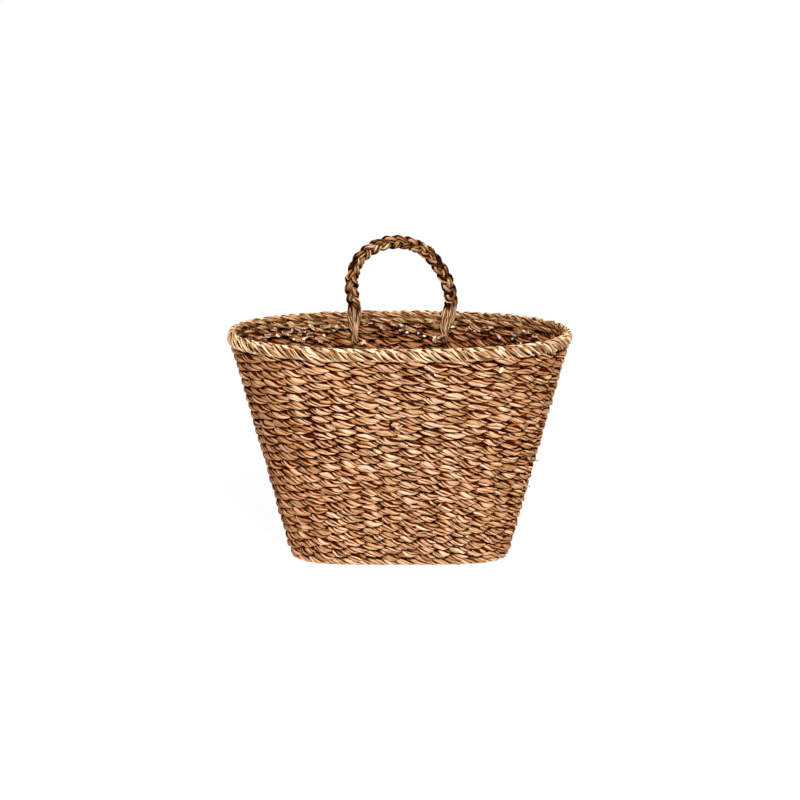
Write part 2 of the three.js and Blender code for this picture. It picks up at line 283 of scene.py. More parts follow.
class Skin:
    """Collects tubes and turns them into one mesh.

    The blades twist, swell and flatten at every row, which no operator gives, so their mesh is written here.
    """

    def __init__(self) -> None:
        """Starts with no tube."""
        self.points: list[np.ndarray] = []
        self.fibres: list[np.ndarray] = []
        self.corners: list[np.ndarray] = []
        self.counts: list[np.ndarray] = []
        self.grains: list[np.ndarray] = []
        self.ridges: list[np.ndarray] = []
        self.total = 0

    def add(self, grid: np.ndarray, lengths: np.ndarray, girth: float, fibre_and_shade: FibreAndShade, closed: bool) -> None:
        """Adds one tube.

        Args:
            grid: Its points, by row along the tube and by side round it.
            lengths: How far each row lies along the tube, with the closing length last on a ring.
            girth: The way round it, for the grain.
            fibre_and_shade: What its surface tells the finish, by row and side.
            closed: Whether the last row joins the first.
        """
        rows, sides = grid.shape[:2]
        spans = rows if closed else rows - 1
        row, side = np.meshgrid(np.arange(spans), np.arange(sides), indexing="ij")
        near, far = row * sides, ((row + 1) % rows) * sides
        turn = (side + 1) % sides
        quads = np.stack([near + side, near + turn, far + turn, far + side], axis=-1).reshape(-1, 4)
        start, stop = lengths[:-1][:spans], lengths[1:][:spans]
        begin, finish = np.repeat(start, sides), np.repeat(stop, sides)
        around, beyond = side.ravel() / sides * girth, (side.ravel() + 1) / sides * girth
        corners = ((begin, around), (begin, beyond), (finish, beyond), (finish, around))
        grain = np.stack([np.stack(corner, axis=-1) for corner in corners], axis=1)
        flat = grid.reshape(-1, 3)
        middle = grid.mean(axis=1)[row.ravel()]
        facing = np.cross(flat[quads[:, 1]] - flat[quads[:, 0]], flat[quads[:, 3]] - flat[quads[:, 0]])
        inside_out = np.sum(facing * (flat[quads[:, 0]] - middle)) < 0
        if inside_out:
            quads, grain = quads[:, ::-1], grain[:, ::-1]
        self.corners.append((quads + self.total).ravel())
        self.counts.append(np.full(len(quads), quads.shape[1]))
        self.grains.append(grain.reshape(-1, 2))
        if not closed:
            self._cap(np.arange(sides), grid[0], lengths[0], inside_out)
            self._cap(np.arange(sides)[::-1] + (rows - 1) * sides, grid[-1], lengths[-1], inside_out)
        shades = np.stack([fibre_and_shade.tint, fibre_and_shade.painted_light, fibre_and_shade.warmth, np.ones_like(fibre_and_shade.tint)], axis=-1)
        self.points.append(flat)
        self.fibres.append(shades.reshape(-1, 4))
        ridge = np.arange(sides)
        self.ridges.append(np.tile(np.where(ridge % FOLD_EVERY == 0, ridge, -1), rows))
        self.total += rows * sides

    def _cap(self, ring: np.ndarray, rim: np.ndarray, length: float, inside_out: bool) -> None:
        """Closes one end of a tube.

        Args:
            ring: The numbers of the end's points, in the order that faces away from the tube.
            rim: The end's points.
            length: How far the end lies along the tube.
            inside_out: Whether the tube's faces were turned round.
        """
        order = ring if inside_out else ring[::-1]
        spread = np.linalg.norm(rim - rim.mean(axis=0), axis=1).max()
        self.corners.append(order + self.total)
        self.counts.append(np.array([len(ring)]))
        self.grains.append(np.stack([np.full(len(ring), length), np.linspace(0, spread, len(ring))], axis=-1))

    def build(self, name: str) -> bpy.types.Object:
        """Makes the mesh and its object.

        Args:
            name: The piece's name.

        Returns:
            The object, at the origin.
        """
        mesh = bpy.data.meshes.new(name)
        points = np.concatenate(self.points)
        corners = np.concatenate(self.corners).astype(np.int32)
        counts = np.concatenate(self.counts)
        mesh.vertices.add(len(points))
        mesh.loops.add(len(corners))
        mesh.polygons.add(len(counts))
        mesh.vertices.foreach_set("co", points.astype(np.float32).ravel())
        mesh.loops.foreach_set("vertex_index", corners)
        starts = np.concatenate([[0], np.cumsum(counts)[:-1]]).astype(np.int32)
        mesh.polygons.foreach_set("loop_start", starts)
        mesh.polygons.foreach_set("use_smooth", np.ones(len(counts), bool))
        mesh.update(calc_edges=True)
        grain = mesh.uv_layers.new(name=GRAIN)
        grain.data.foreach_set("uv", np.concatenate(self.grains).astype(np.float32).ravel())
        shades = mesh.attributes.new(FIBRE_AND_SHADE, "FLOAT_COLOR", "POINT")
        shades.data.foreach_set("color", np.concatenate(self.fibres).astype(np.float32).ravel())
        self._fold(mesh)
        mesh.validate()
        piece = bpy.data.objects.new(name, mesh)
        bpy.context.scene.collection.objects.link(piece)
        return piece

    def _fold(self, mesh: bpy.types.Mesh) -> None:
        """Creases the mesh along the folds of its blades.

        Args:
            mesh: The mesh.
        """
        ends = np.empty(2 * len(mesh.edges), np.int32)
        mesh.edges.foreach_get("vertices", ends)
        sides = np.concatenate(self.ridges)[ends.reshape(-1, 2)]
        along_fold = (sides[:, 0] == sides[:, 1]) & (sides[:, 0] >= 0)
        mesh.attributes.new("sharp_edge", "BOOLEAN", "EDGE").data.foreach_set("value", along_fold)


@dataclass(frozen=True)
class Strip:
    """One blade of a cord: where it lies round the cord, and its section in shares of the cord's halves."""

    turn: float
    core: float
    thick: float
    wide: float


def plied(plies: int, *blades: Strip) -> tuple[Strip, ...]:
    """Lays out the plies of a cord, each of the same blades side by side.

    Args:
        plies: How many plies.
        blades: The blades of one ply, each with its turn measured from the ply's own.

    Returns:
        All the blades.
    """
    return tuple(replace(blade, turn=blade.turn + number / plies)
                 for number in range(plies) for blade in blades)


SOFT_CORD = plied(2, Strip(0, 0.52, 0.48, 0.50), Strip(0.17, 0.48, 0.42, 0.34))


@dataclass(frozen=True)
class Twist:
    """How the blades of a cord are laid together.

    Drifts are in radians, the swell in shares of a blade's width, and the heart in shares of the cord's
    half depth and half height. A higher crease paints more shade between the blades and narrows the bright
    crown of each, and calm divides how often the whole cord strays.
    """

    strips: tuple[Strip, ...]
    turns: float
    sides: int = 8
    drift: float = 0.6
    own_drift: float = 0.3
    swell: float = 0.2
    core_swell: float = 0.5
    calm: int = 1
    heart: tuple[float, float] = (0.0, 0.0)
    crease_shade: float = 1.6


@dataclass
class Cord:
    """A twisted cord along a path, squeezed as its neighbours press it.

    Shade is how far outside the middle of the weave the cord lies, and shade_reach is where it lies open.
    Lean tips its section, pale lifts its tint, and inner_shade and shelter paint shade on its inside and its
    top.
    """

    path: Path
    twist: Twist
    depth: np.ndarray
    height: np.ndarray
    rng: np.random.Generator
    shade: np.ndarray | None = None
    shade_reach: float = 1.0
    lean: np.ndarray | None = None
    pale: np.ndarray | None = None
    inner_shade: float = 0.0
    top_shadow: float = 0.0
    knots: int = 40

    def lay(self, skin: Skin) -> None:
        """Adds the cord's blades to a skin.

        Args:
            skin: What to add them to.
        """
        lengths = self.path.lengths
        share = lengths[:len(self.path.points)] / lengths[-1]
        drift = self.twist.drift * Wobble(self.rng, self.knots // self.twist.calm).at(share)
        start = self.rng.uniform(0, TURN)
        for strip in self.twist.strips:
            angle = start + TURN * (strip.turn - self.twist.turns * share) + drift
            angle = angle + self.twist.own_drift * Wobble(self.rng, self.knots).at(share)
            self._add_strip(skin, strip, angle, share, lengths)
        if any(self.twist.heart):
            self._add_heart(skin, lengths)

    def _add_heart(self, skin: Skin, lengths: np.ndarray) -> None:
        """Adds the core that the blades are laid round, painted dark as the shade between them.

        Args:
            skin: What to add it to.
            lengths: How far each row lies along the cord, with the closing length last on a ring.
        """
        around = np.arange(self.twist.sides) / self.twist.sides * TURN
        deep, tall = self.twist.heart
        outward = deep * self.depth[:, None] * np.cos(around)
        upward = tall * self.height[:, None] * np.sin(around)
        tint = np.full_like(outward, HEART_TINT)
        painted_light = np.full_like(outward, HEART_PAINTED_LIGHT)
        girth = TURN * tall * float(self.height.mean())
        grid = self._grid(outward, upward)
        skin.add(grid, lengths, girth, FibreAndShade(tint, painted_light, tint), self.path.closed)

    def _add_strip(self, skin: Skin, strip: Strip, angle: np.ndarray, share: np.ndarray,
                   lengths: np.ndarray) -> None:
        """Adds one blade.

        Args:
            skin: What to add it to.
            strip: The blade.
            angle: Where it lies round the cord, at each row.
            share: How far along the cord each row is.
            lengths: The same in metres, with the closing length last on a ring.
        """
        sides = self.twist.sides
        around = np.arange(sides) / sides * TURN + math.pi
        face = np.sign(np.cos(around)) * np.abs(np.cos(around)) ** LENS_POWER
        swell = self.twist.swell
        wide = (strip.wide * (1 + Drift(swell, self.knots).along(self.rng, share)))[:, None]
        stray = Drift(self.twist.core_swell * swell * strip.thick, self.knots)
        core = (strip.core + stray.along(self.rng, share))[:, None]
        radial = core + strip.thick * face
        tangent = wide * np.sin(around)
        turn_cos, turn_sin = np.cos(angle)[:, None], np.sin(angle)[:, None]
        outward = (radial * turn_cos - tangent * turn_sin) * self.depth[:, None]
        upward = (radial * turn_sin + tangent * turn_cos) * self.height[:, None]
        if self.lean is not None:
            outward = outward - self.lean[:, None] * upward
        rise = (upward - core * turn_sin * self.height[:, None]) / (wide * self.height[:, None])
        painted_light = self._painted_light(around, rise, outward, upward)
        tint = self.rng.uniform(*TINTS) + Drift(TINT_DRIFT, self.knots).along(self.rng, share)
        if self.pale is not None:
            tint = tint + self.pale
        warmth = self.rng.uniform(*WARMTHS) + Drift(WARMTH_DRIFT, self.knots // 2).along(self.rng, share)
        tint, warmth = (np.repeat(np.clip(part, 0, 1)[:, None], sides, axis=1) for part in (tint, warmth))
        girth = TURN * float(np.mean((self.depth + self.height) / 2)) * (strip.thick + strip.wide) / 2
        skin.add(self._grid(outward, upward), lengths, girth, FibreAndShade(tint, painted_light, warmth), self.path.closed)

    def _grid(self, outward: np.ndarray, upward: np.ndarray) -> np.ndarray:
        """Lays points round the path.

        Args:
            outward: How far out of it each is, by row and side.
            upward: How far above it each is.

        Returns:
            The points, by row and side.
        """
        path = self.path
        grid = path.points[:, None, :] + outward[..., None] * path.out[:, None, :]
        return grid + upward[..., None] * path.up[:, None, :]

    def _painted_light(self, around: np.ndarray, rise: np.ndarray, outward: np.ndarray,
               upward: np.ndarray) -> np.ndarray:
        """How brightly each point of a blade is painted, from 0, painted shade deep between the blades, to 1
        on its crown.

        Args:
            around: Where each side lies round the blade.
            rise: How far above the blade's own middle each point is, in shares of its half width.
            outward: How far out of the path each point is.
            upward: How far above the path each is.

        Returns:
            One number for each point.
        """
        # Painted shade in the creases between blades, lighter on a blade's lower edge than on its upper one.
        hidden = 1 - ((1 + np.cos(around)) / 2) ** self.twist.crease_shade
        painted_light = 1 - hidden * (LOW_EDGE_SHARE + (1 - LOW_EDGE_SHARE) * smooth(-EDGE_SHARE, EDGE_SHARE, rise))
        # Painted shadow of the round above, on the top of the cord.
        painted_light = painted_light * (1 - self.top_shadow * smooth(TOP_SHADOW_SHARE, 1.0, upward / self.height[:, None]))
        # Painted shade deep in the weave and on the inside.
        place = outward
        if self.shade is not None:
            place = self.shade[:, None] + outward
            painted_light = painted_light * smooth(*OPEN_SHARES, np.abs(place) / self.shade_reach)
        return painted_light * (1 - self.inner_shade * smooth(-INNER_SPAN, INNER_SPAN, -place))


@dataclass(frozen=True)
class WallSizes:
    """Sizes of the wall, in metres."""

    rim_length: float = 0.400
    rim_width: float = 0.200
    foot_length: float = 0.256
    foot_width: float = 0.128
    body_height: float = 0.264
    rim_corner_share: float = 2.25
    foot_corner_share: float = 4
    gap: float = 0.0003
    stake_radius: float = 0.0015
    cross_stakes: int = 12
    length_stakes: int = 5
    courses: int = 25
    cord_thickness: float = 0.004
    foot_height: float = 0.0042
    foot_width_over: float = 0.010
    border_width: float = 0.014
    border_height: float = 0.0127

    @property
    def stakes(self) -> int:
        """How many stakes stand in the wall."""
        return 2 * (self.cross_stakes + self.length_stakes)

    @property
    def clearance(self) -> float:
        """How far a cord stays from the middle of a stake."""
        return self.stake_radius + self.gap

    @property
    def reach(self) -> float:
        """How far the weave reaches to each side of the stakes."""
        return self.clearance + self.cord_thickness

    @property
    def base_level(self) -> float:
        """How high the stakes cross the base."""
        return self.foot_height + self.gap + self.stake_radius

    @property
    def weave_bottom(self) -> float:
        """Where the wall's first round starts."""
        return self.base_level + self.clearance

    @property
    def border_bottom(self) -> float:
        """Where the border starts."""
        return self.body_height - self.border_height

    @property
    def pitch(self) -> float:
        """How far apart the rounds of cord lie."""
        return (self.border_bottom - self.weave_bottom) / self.courses / 2


class Oval:
    """An oval line from the middle of its front round to the right."""

    POINTS = 721

    def __init__(self, half_length: float, half_width: float, corner_share: float) -> None:
        """Works out the line.

        Args:
            half_length: From its middle to its right end.
            half_width: From its middle to its front.
            corner_share: 2 for an ellipse, more for a squarer line.
        """
        angle = np.linspace(-math.pi / 2, 1.5 * math.pi, self.POINTS)
        along, across = np.cos(angle), np.sin(angle)
        self.x = half_length * np.sign(along) * np.abs(along) ** (2 / corner_share)
        self.y = half_width * np.sign(across) * np.abs(across) ** (2 / corner_share)
        steps = np.hypot(np.diff(self.x), np.diff(self.y))
        self.share = np.concatenate([[0], np.cumsum(steps)]) / steps.sum()

    def at(self, share: np.ndarray) -> np.ndarray:
        """The points at shares of the way round."""
        turn = np.asarray(share, float) % 1
        return np.stack([np.interp(turn, self.share, self.x), np.interp(turn, self.share, self.y)], axis=-1)


class Wall:
    """The leaning surface that the stakes stand in."""

    def __init__(self, sizes: WallSizes) -> None:
        """Draws its foot and its rim.

        Args:
            sizes: The wall's sizes.
        """
        self.sizes = sizes
        inset = sizes.reach
        foot_halves = sizes.foot_length / 2 - inset, sizes.foot_width / 2 - inset
        self.foot = Oval(*foot_halves, sizes.foot_corner_share)
        rim_halves = (sizes.rim_length - sizes.border_width) / 2, (sizes.rim_width - sizes.border_width) / 2
        self.rim = Oval(*rim_halves, sizes.rim_corner_share)

    def line(self, share: np.ndarray, height: np.ndarray) -> np.ndarray:
        """Points of the wall seen from above.

        Args:
            share: How far round each is.
            height: How high each is.

        Returns:
            x and y of each.
        """
        lift = (np.asarray(height, float) / self.sizes.body_height)[..., None]
        return self.foot.at(share) * (1 - lift) + self.rim.at(share) * lift

    def point(self, share: np.ndarray, height: np.ndarray, offset: np.ndarray | float = 0.0) -> np.ndarray:
        """Points of the wall, moved outwards.

        Args:
            share: How far round each is.
            height: How high each is.
            offset: How far out each is moved.

        Returns:
            x, y and z of each.
        """
        share = np.asarray(share, float)
        height = np.broadcast_to(np.asarray(height, float), share.shape)
        along = unit(self.line(share + PROBE_SHARE, height) - self.line(share - PROBE_SHARE, height))
        line = self.line(share, height)
        x = line[..., 0] + along[..., 1] * offset
        y = line[..., 1] - along[..., 0] * offset
        return np.stack([x, y, height], axis=-1)

    def rise(self, share: np.ndarray) -> np.ndarray:
        """The way up along the wall."""
        return unit(self.point(share, self.sizes.body_height) - self.point(share, 0.0))

    def stake_share(self, stake: float) -> float:
        """How far round a stake stands."""
        return (stake - (self.sizes.cross_stakes - 1) / 2) / self.sizes.stakes


class Socket:
    """A shader socket that can be used in sums."""

    def __init__(self, shader: "Shader", link: bpy.types.NodeSocket | None) -> None:
        """Wraps a node's output.

        Args:
            shader: The material's shader.
            link: The output, or None for the last node, which has none.
        """
        self.shader = shader
        self.link = link

    def _with(self, operation: str, first: "Socket | float", second: "Socket | float") -> "Socket":
        """Adds the Math node for one sum.

        Args:
            operation: The Math node's operation.
            first: Its first value.
            second: Its second value.

        Returns:
            The node's output.
        """
        return self.shader.node("ShaderNodeMath", {"operation": operation}, {0: first, 1: second})

    def __add__(self, other: "Socket | float") -> "Socket":
        """Adds."""
        return self._with("ADD", self, other)

    __radd__ = __add__

    def __sub__(self, other: "Socket | float") -> "Socket":
        """Takes away."""
        return self._with("SUBTRACT", self, other)

    def __rsub__(self, other: "Socket | float") -> "Socket":
        """Takes away from a number."""
        return self._with("SUBTRACT", other, self)

    def __mul__(self, other: "Socket | float") -> "Socket":
        """Multiplies."""
        return self._with("MULTIPLY", self, other)

    __rmul__ = __mul__


class Shader:
    """Builds a material or a world from nodes."""

    # Places of a Mix node's sockets when it mixes colours.
    MIX_SHARE = 0
    MIX_FIRST = 6
    MIX_SECOND = 7
    MIX_COLOUR = 2

    def __init__(self, owner: bpy.types.Material | bpy.types.World) -> None:
        """Starts with no node.

        Args:
            owner: The material or world.
        """
        self.owner = owner
        owner.use_nodes = True
        self.tree = owner.node_tree
        self.tree.nodes.clear()

    @classmethod
    def material(cls, name: str) -> "Shader":
        """Starts a material."""
        return cls(bpy.data.materials.new(name))

    def node(
        self, kind: str, settings: dict[str, object], values: dict[int | str, object], output: int | str = 0
    ) -> Socket:
        """Adds a node.

        Args:
            kind: The node's type.
            settings: Its settings, and under "stops" a ramp's places and colours.
            values: Its inputs by name or number, as values or as sockets to link.
            output: Which output to hand back.

        Returns:
            That output.
        """
        node = self.tree.nodes.new(kind)
        for name, value in settings.items():
            if name == "stops":
                self._set_stops(node.color_ramp, value)
            else:
                setattr(node, name, value)
        for name, value in values.items():
            if isinstance(value, Socket):
                self.tree.links.new(value.link, node.inputs[name])
            else:
                node.inputs[name].default_value = value
        return Socket(self, node.outputs[output] if len(node.outputs) else None)

    @staticmethod
    def _set_stops(ramp: bpy.types.ColorRamp, stops: list[tuple[float, tuple]]) -> None:
        """Sets the places and colours of a ramp.

        Args:
            ramp: The ramp.
            stops: Each place with its colour.
        """
        while len(ramp.elements) < len(stops):
            ramp.elements.new(1)
        for element, (place, colour) in zip(ramp.elements, stops):
            element.position = place
            element.color = colour

    def mix(self, share: Socket | float, first: object, second: object, blend: str = "MIX") -> Socket:
        """Mixes two colours.

        Args:
            share: How much of the second.
            first: The first colour.
            second: The second colour.
            blend: How they are blended.

        Returns:
            The mixed colour.
        """
        settings = {"data_type": "RGBA", "blend_type": blend}
        values = {self.MIX_SHARE: share, self.MIX_FIRST: first, self.MIX_SECOND: second}
        return self.node("ShaderNodeMix", settings, values, self.MIX_COLOUR)

    def range(self, value: Socket, start: float, stop: float, low: float, high: float) -> Socket:
        """Maps a value from one range to another.

        Args:
            value: What to map.
            start: Where its range starts.
            stop: Where its range ends.
            low: What the start becomes.
            high: What the end becomes.

        Returns:
            The mapped value.
        """
        values = {"Value": value, "From Min": start, "From Max": stop, "To Min": low, "To Max": high}
        return self.node("ShaderNodeMapRange", {}, values)

    def finish(self, surface: Socket) -> bpy.types.Material | bpy.types.World:
        """Sends a surface to the output.

        Args:
            surface: The surface, or a world's background.

        Returns:
            The material or world.
        """
        kind = "World" if isinstance(self.owner, bpy.types.World) else "Material"
        self.node(f"ShaderNodeOutput{kind}", {}, {"Surface": surface})
        return self.owner


class Tone(Enum):
    """The shades that dried seagrass comes in."""

    # Near white: painted as the light that shows through holes in the weave.
    HOLE_LIGHT = "fff8ea"
    PALE = "ffe9cd"
    CREAM = "ffddba"
    WHEAT = "fbe1b8"
    STRAW = "e8ba93"
    TAN = "cb986b"
    PINK = "cf9379"
    OLIVE = "b3965f"
    BROWN = "8c5932"
    UMBER = "684124"
    SAND = "ecc9a2"
    DARK = "341002"
    CANE = "8a5a38"

    @property
    def light(self) -> tuple[float, float, float, float]:
        """The shade in the shader's numbers."""
        return linear(self.value)


# Painted shade, and a faint painted highlight on the crown:
# what a blade's colour is multiplied by, from deep between the blades to its crown.
WALL_SHADES = (
    (0.0, (0.02, 0.002, 0.0, 1)), (0.26, (0.12, 0.02, 0.001, 1)), (0.5, (0.50, 0.30, 0.14, 1)),
    (0.78, (1.04, 1.02, 1.01, 1)),
)
RIM_SHADES = (
    (0.0, (0.02, 0.002, 0.0, 1)), (0.24, (0.08, 0.014, 0.001, 1)), (0.43, (0.48, 0.28, 0.13, 1)),
    (0.64, (1.04, 1.02, 1.01, 1)),
)


@dataclass(frozen=True)
class Grain:
    """Noise drawn out along a strand: its waves in a metre along it and round it, and how fine it goes."""

    along: float
    across: float
    detail: float

    def noise(self, shader: Shader, place: Socket) -> Socket:
        """Adds the noise.

        Args:
            shader: The material's shader.
            place: Places on the strand, in metres along and round it.

        Returns:
            The noise.
        """
        waves = (self.along, self.across, 1.0)
        drawn = shader.node("ShaderNodeMapping", {}, {"Vector": place, "Scale": waves})
        return shader.node("ShaderNodeTexNoise", {}, {"Vector": drawn, "Scale": 1.0, "Detail": self.detail})


@dataclass(frozen=True)
class Seagrass:
    """A finish of dried seagrass, whose grain runs along the strand.

    Its tones go from dark to pale. The strand's own tint, the broad grain and the patches each have a weight
    in the choice of tone, and the fine, broad and blade grains in the streaks. Pink and olive are how much
    of each the warmest and the coolest strands get.
    """

    name: str
    tones: tuple[Tone, Tone, Tone, Tone] = (Tone.BROWN, Tone.TAN, Tone.STRAW, Tone.CREAM)
    tone_places: tuple[float, float, float, float] = (0.05, 0.32, 0.62, 0.95)
    pink: float = 0.12
    pink_span: tuple[float, float] = (0.55, 1.0)
    olive: float = 0.22
    olive_span: tuple[float, float] = (0.4, 0.0)
    shades: tuple[tuple[float, tuple[float, float, float, float]], ...] = WALL_SHADES
    contrast: float = 0.9
    middle: float = 0.53
    tint_weight: float = 0.65
    broad_weight: float = 0.9
    patch_weight: float = 0.4
    fine: Grain = Grain(260, 5200, 3)
    broad: Grain = Grain(90, 1300, 2)
    blade: Grain = Grain(60, 480, 2)
    patch_scale: float = 70.0
    patch_detail: float = 2.0
    streak_weights: tuple[float, float, float] = (0.4, 0.3, 0.8)
    streak_span: tuple[float, float] = (0.6, 0.9)
    streak_light: tuple[float, float] = (0.62, 1.16)
    roughness: tuple[float, float] = (0.65, 0.87)
    roughness_span: tuple[float, float] = (0.3, 0.7)
    specular: float = 0.02
    bump: float = 0.5
    bump_depth: float = 0.6 * MM
    fine_height: float = 0.6

    def make(self) -> bpy.types.Material:
        """Builds the material.

        Returns:
            The material.
        """
        shader = Shader.material(self.name)
        fibre_and_shade = shader.node("ShaderNodeAttribute", {"attribute_name": FIBRE_AND_SHADE}, {}, "Color")
        tint, painted_light, warmth = (
            shader.node("ShaderNodeSeparateColor", {}, {"Color": fibre_and_shade}, part) for part in range(3)
        )
        grain = shader.node("ShaderNodeUVMap", {"uv_map": GRAIN}, {})
        fine, broad, blade = (waves.noise(shader, grain) for waves in (self.fine, self.broad, self.blade))
        colour = self._tone(shader, tint, broad)
        pink = shader.range(warmth, *self.pink_span, 0.0, self.pink)
        colour = shader.mix(pink, colour, Tone.PINK.light)
        olive = shader.range(warmth, *self.olive_span, 0.0, self.olive)
        colour = shader.mix(olive, colour, Tone.OLIVE.light)
        by_fine, by_broad, by_blade = self.streak_weights
        streak = fine * by_fine + broad * by_broad + blade * by_blade
        streak = shader.range(streak, *self.streak_span, *self.streak_light)
        grey = shader.node("ShaderNodeCombineColor", {}, {0: streak, 1: streak, 2: streak})
        colour = shader.mix(1.0, colour, grey, "MULTIPLY")
        # Painted light and shade: the colour is multiplied by the ramp, read at each point's painted light.
        shade = shader.node("ShaderNodeValToRGB", {"stops": list(self.shades)}, {"Fac": painted_light})
        colour = shader.mix(1.0, colour, shade, "MULTIPLY")
        rough = shader.range(broad, *self.roughness_span, *self.roughness)
        height = fine * self.fine_height + broad
        bump = shader.node("ShaderNodeBump", {}, {
            "Strength": self.bump, "Distance": self.bump_depth, "Height": height,
        })
        surface = shader.node("ShaderNodeBsdfPrincipled", {}, {
            "Base Color": colour, "Roughness": rough, "Normal": bump, "Specular IOR Level": self.specular,
        })
        return shader.finish(surface)

    def _tone(self, shader: Shader, tint: Socket, broad: Socket) -> Socket:
        """Adds the choice among the tones.

        Args:
            shader: The material's shader.
            tint: The strand's own tint.
            broad: The broad grain.

        Returns:
            The colour.
        """
        spots = shader.node("ShaderNodeTexCoord", {}, {}, "Object")
        patch = shader.node("ShaderNodeTexNoise", {}, {
            "Vector": spots, "Scale": self.patch_scale, "Detail": self.patch_detail,
        })
        weighed = ((tint, self.tint_weight), (broad, self.broad_weight), (patch, self.patch_weight))
        by_tint, by_broad, by_patch = ((value - 0.5) * weight for value, weight in weighed)
        place = (by_tint + by_broad + by_patch) * self.contrast + self.middle
        stops = list(zip(self.tone_places, (tone.light for tone in self.tones)))
        return shader.node("ShaderNodeValToRGB", {"stops": stops}, {"Fac": place})


@dataclass(frozen=True)
class Cane:
    """A finish of plain cane, for the stakes."""

    name: str = "cane"
    waves: tuple[float, float, float] = (900.0, 900.0, 60.0)
    detail: float = 3.0
    roughness: float = 0.7
    bump: float = 0.3
    bump_depth: float = 0.3 * MM

    def make(self) -> bpy.types.Material:
        """Builds the material.

        Returns:
            The material.
        """
        shader = Shader.material(self.name)
        place = shader.node("ShaderNodeTexCoord", {}, {}, "Object")
        drawn = shader.node("ShaderNodeMapping", {}, {"Vector": place, "Scale": self.waves})
        grain = shader.node("ShaderNodeTexNoise", {}, {"Vector": drawn, "Scale": 1.0, "Detail": self.detail})
        colour = shader.mix(grain, Tone.CANE.light, Tone.DARK.light)
        bump = shader.node("ShaderNodeBump", {}, {
            "Strength": self.bump, "Distance": self.bump_depth, "Height": grain,
        })
        surface = shader.node("ShaderNodeBsdfPrincipled", {}, {
            "Base Color": colour, "Roughness": self.roughness, "Normal": bump,
        })
        return shader.finish(surface)


def dress(piece: bpy.types.Object, body: str, slot: str, finish: bpy.types.Material, *nodes: str) -> None:
    """Gives a finished piece its finish and its body, and hides the nodes that it stands for.

    Args:
        piece: The piece.
        body: The body that it moves with.
        slot: The record's slot for its finish. It is not used.
        finish: Its material.
        nodes: The nodes that it replaces.
    """
    piece.data.materials.clear()
    piece.data.materials.append(finish)
    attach(piece, body)
    if nodes:
        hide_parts(*nodes)
    log.info("%s: %d faces on %s", piece.name, len(piece.data.polygons), body)


@dataclass
class WovenWall:
    """The rounds of two-ply cord, in front of one stake and behind the next.

    A cord is flat and tall where it passes a stake, open, and thick and low between two, pinched. The depths
    and heights are halves, in metres. The two powers square off the cord's waves, and the two side shades
    paint shade on the left and the right end of the basket, where the light falls off.
    """

    wall: Wall
    finish: bpy.types.Material
    strips: tuple[Strip, ...] = plied(2, Strip(0, 0.54, 0.46, 0.53), Strip(0.23, 0.47, 0.44, 0.28))
    steps: int = 9
    seed: int = 1000
    open_depth: float = 0.0022
    open_height: float = 0.0049
    pinch_depth: float = 0.0030
    pinch_height: float = 0.0029
    swing_power: float = 0.75
    passing_power: float = 0.8
    turns_per_stake: float = 0.62
    turns_spread: float = 0.12
    drift: float = 0.8
    own_drift: float = 0.45
    heart: tuple[float, float] = (0.5, 0.80)
    crease_shade: float = 2.2
    tip_out: float = 0.18
    top_shadow: float = 0.34
    inner_shade: float = 0.30
    side_shades: tuple[float, float] = (0.62, 0.36)
    side_shade_span: tuple[float, float] = (0.45, 0.95)
    place_drift: Drift = Drift(0.09, 34)
    size_drift: Drift = Drift(0.18, 70)
    offset_drift: Drift = Drift(0.14, 50)
    height_drift: Drift = Drift(0.42 * MM, 48)
    knots: int = 68

    def make(self) -> None:
        """Makes every course, each with its two rounds."""
        for course in range(self.wall.sizes.courses):
            skin = Skin()
            for round_number in (2 * course, 2 * course + 1):
                self._round(round_number).lay(skin)
            piece = skin.build(f"woven_course_{course + 1:02d}")
            dress(piece, BASKET, "wall_cord", self.finish, f"course_{course + 1:02d}")

    def _round(self, number: int) -> Cord:
        """One round of cord.

        Args:
            number: Which round, from the foot.

        Returns:
            The cord.
        """
        sizes = self.wall.sizes
        rng = np.random.default_rng(self.seed + number)
        count = sizes.stakes * self.steps
        share = np.arange(count) / count
        place = share * sizes.stakes + (sizes.cross_stakes - 1) / 2 + self.place_drift.along(rng, share)
        wave = np.cos(math.pi * (place + number + 1))
        swing = np.sign(wave) * np.abs(wave) ** self.swing_power
        passing = np.abs(wave) ** self.passing_power
        loose = 1 + self.size_drift.along(rng, share)
        offset = (sizes.clearance + self.open_depth) * swing * (1 + self.offset_drift.along(rng, share))
        height = sizes.weave_bottom + (number + 0.5) * sizes.pitch + self.height_drift.along(rng, share)
        depth = (self.pinch_depth + (self.open_depth - self.pinch_depth) * passing) * loose
        tall = (self.pinch_height + (self.open_height - self.pinch_height) * passing) * loose
        points = self.wall.point(share, height, offset)
        path = Path.ring(points, self.wall.rise(share))
        turns = self.turns_per_stake * sizes.stakes * (1 + self.turns_spread * rng.uniform(-1, 1))
        twist = Twist(self.strips, round(turns), drift=self.drift, own_drift=self.own_drift,
                      heart=self.heart, crease_shade=self.crease_shade)
        # Painted shade: the tint is lowered towards the left and right ends of the basket.
        to_side = points[:, 0] / np.abs(points[:, 0]).max()
        left, right = self.side_shades
        painted_side_shade = left * smooth(*self.side_shade_span, -to_side) + right * smooth(*self.side_shade_span, to_side)
        return Cord(path, twist, depth, tall, rng, shade=offset, shade_reach=sizes.reach,
                    lean=self.tip_out * swing, pale=-painted_side_shade, inner_shade=self.inner_shade,
                    top_shadow=self.top_shadow, knots=self.knots)


@dataclass(frozen=True)
class ThinCord:
    """A thin cord beside the rope.

    Halves are half its depth and half its height, lay is how far along it its blades go round once, and
    pale is how much paler than the rope it is.
    """

    halves: tuple[float, float]
    lay: float
    strips: tuple[Strip, ...]
    pale: float = 0.0


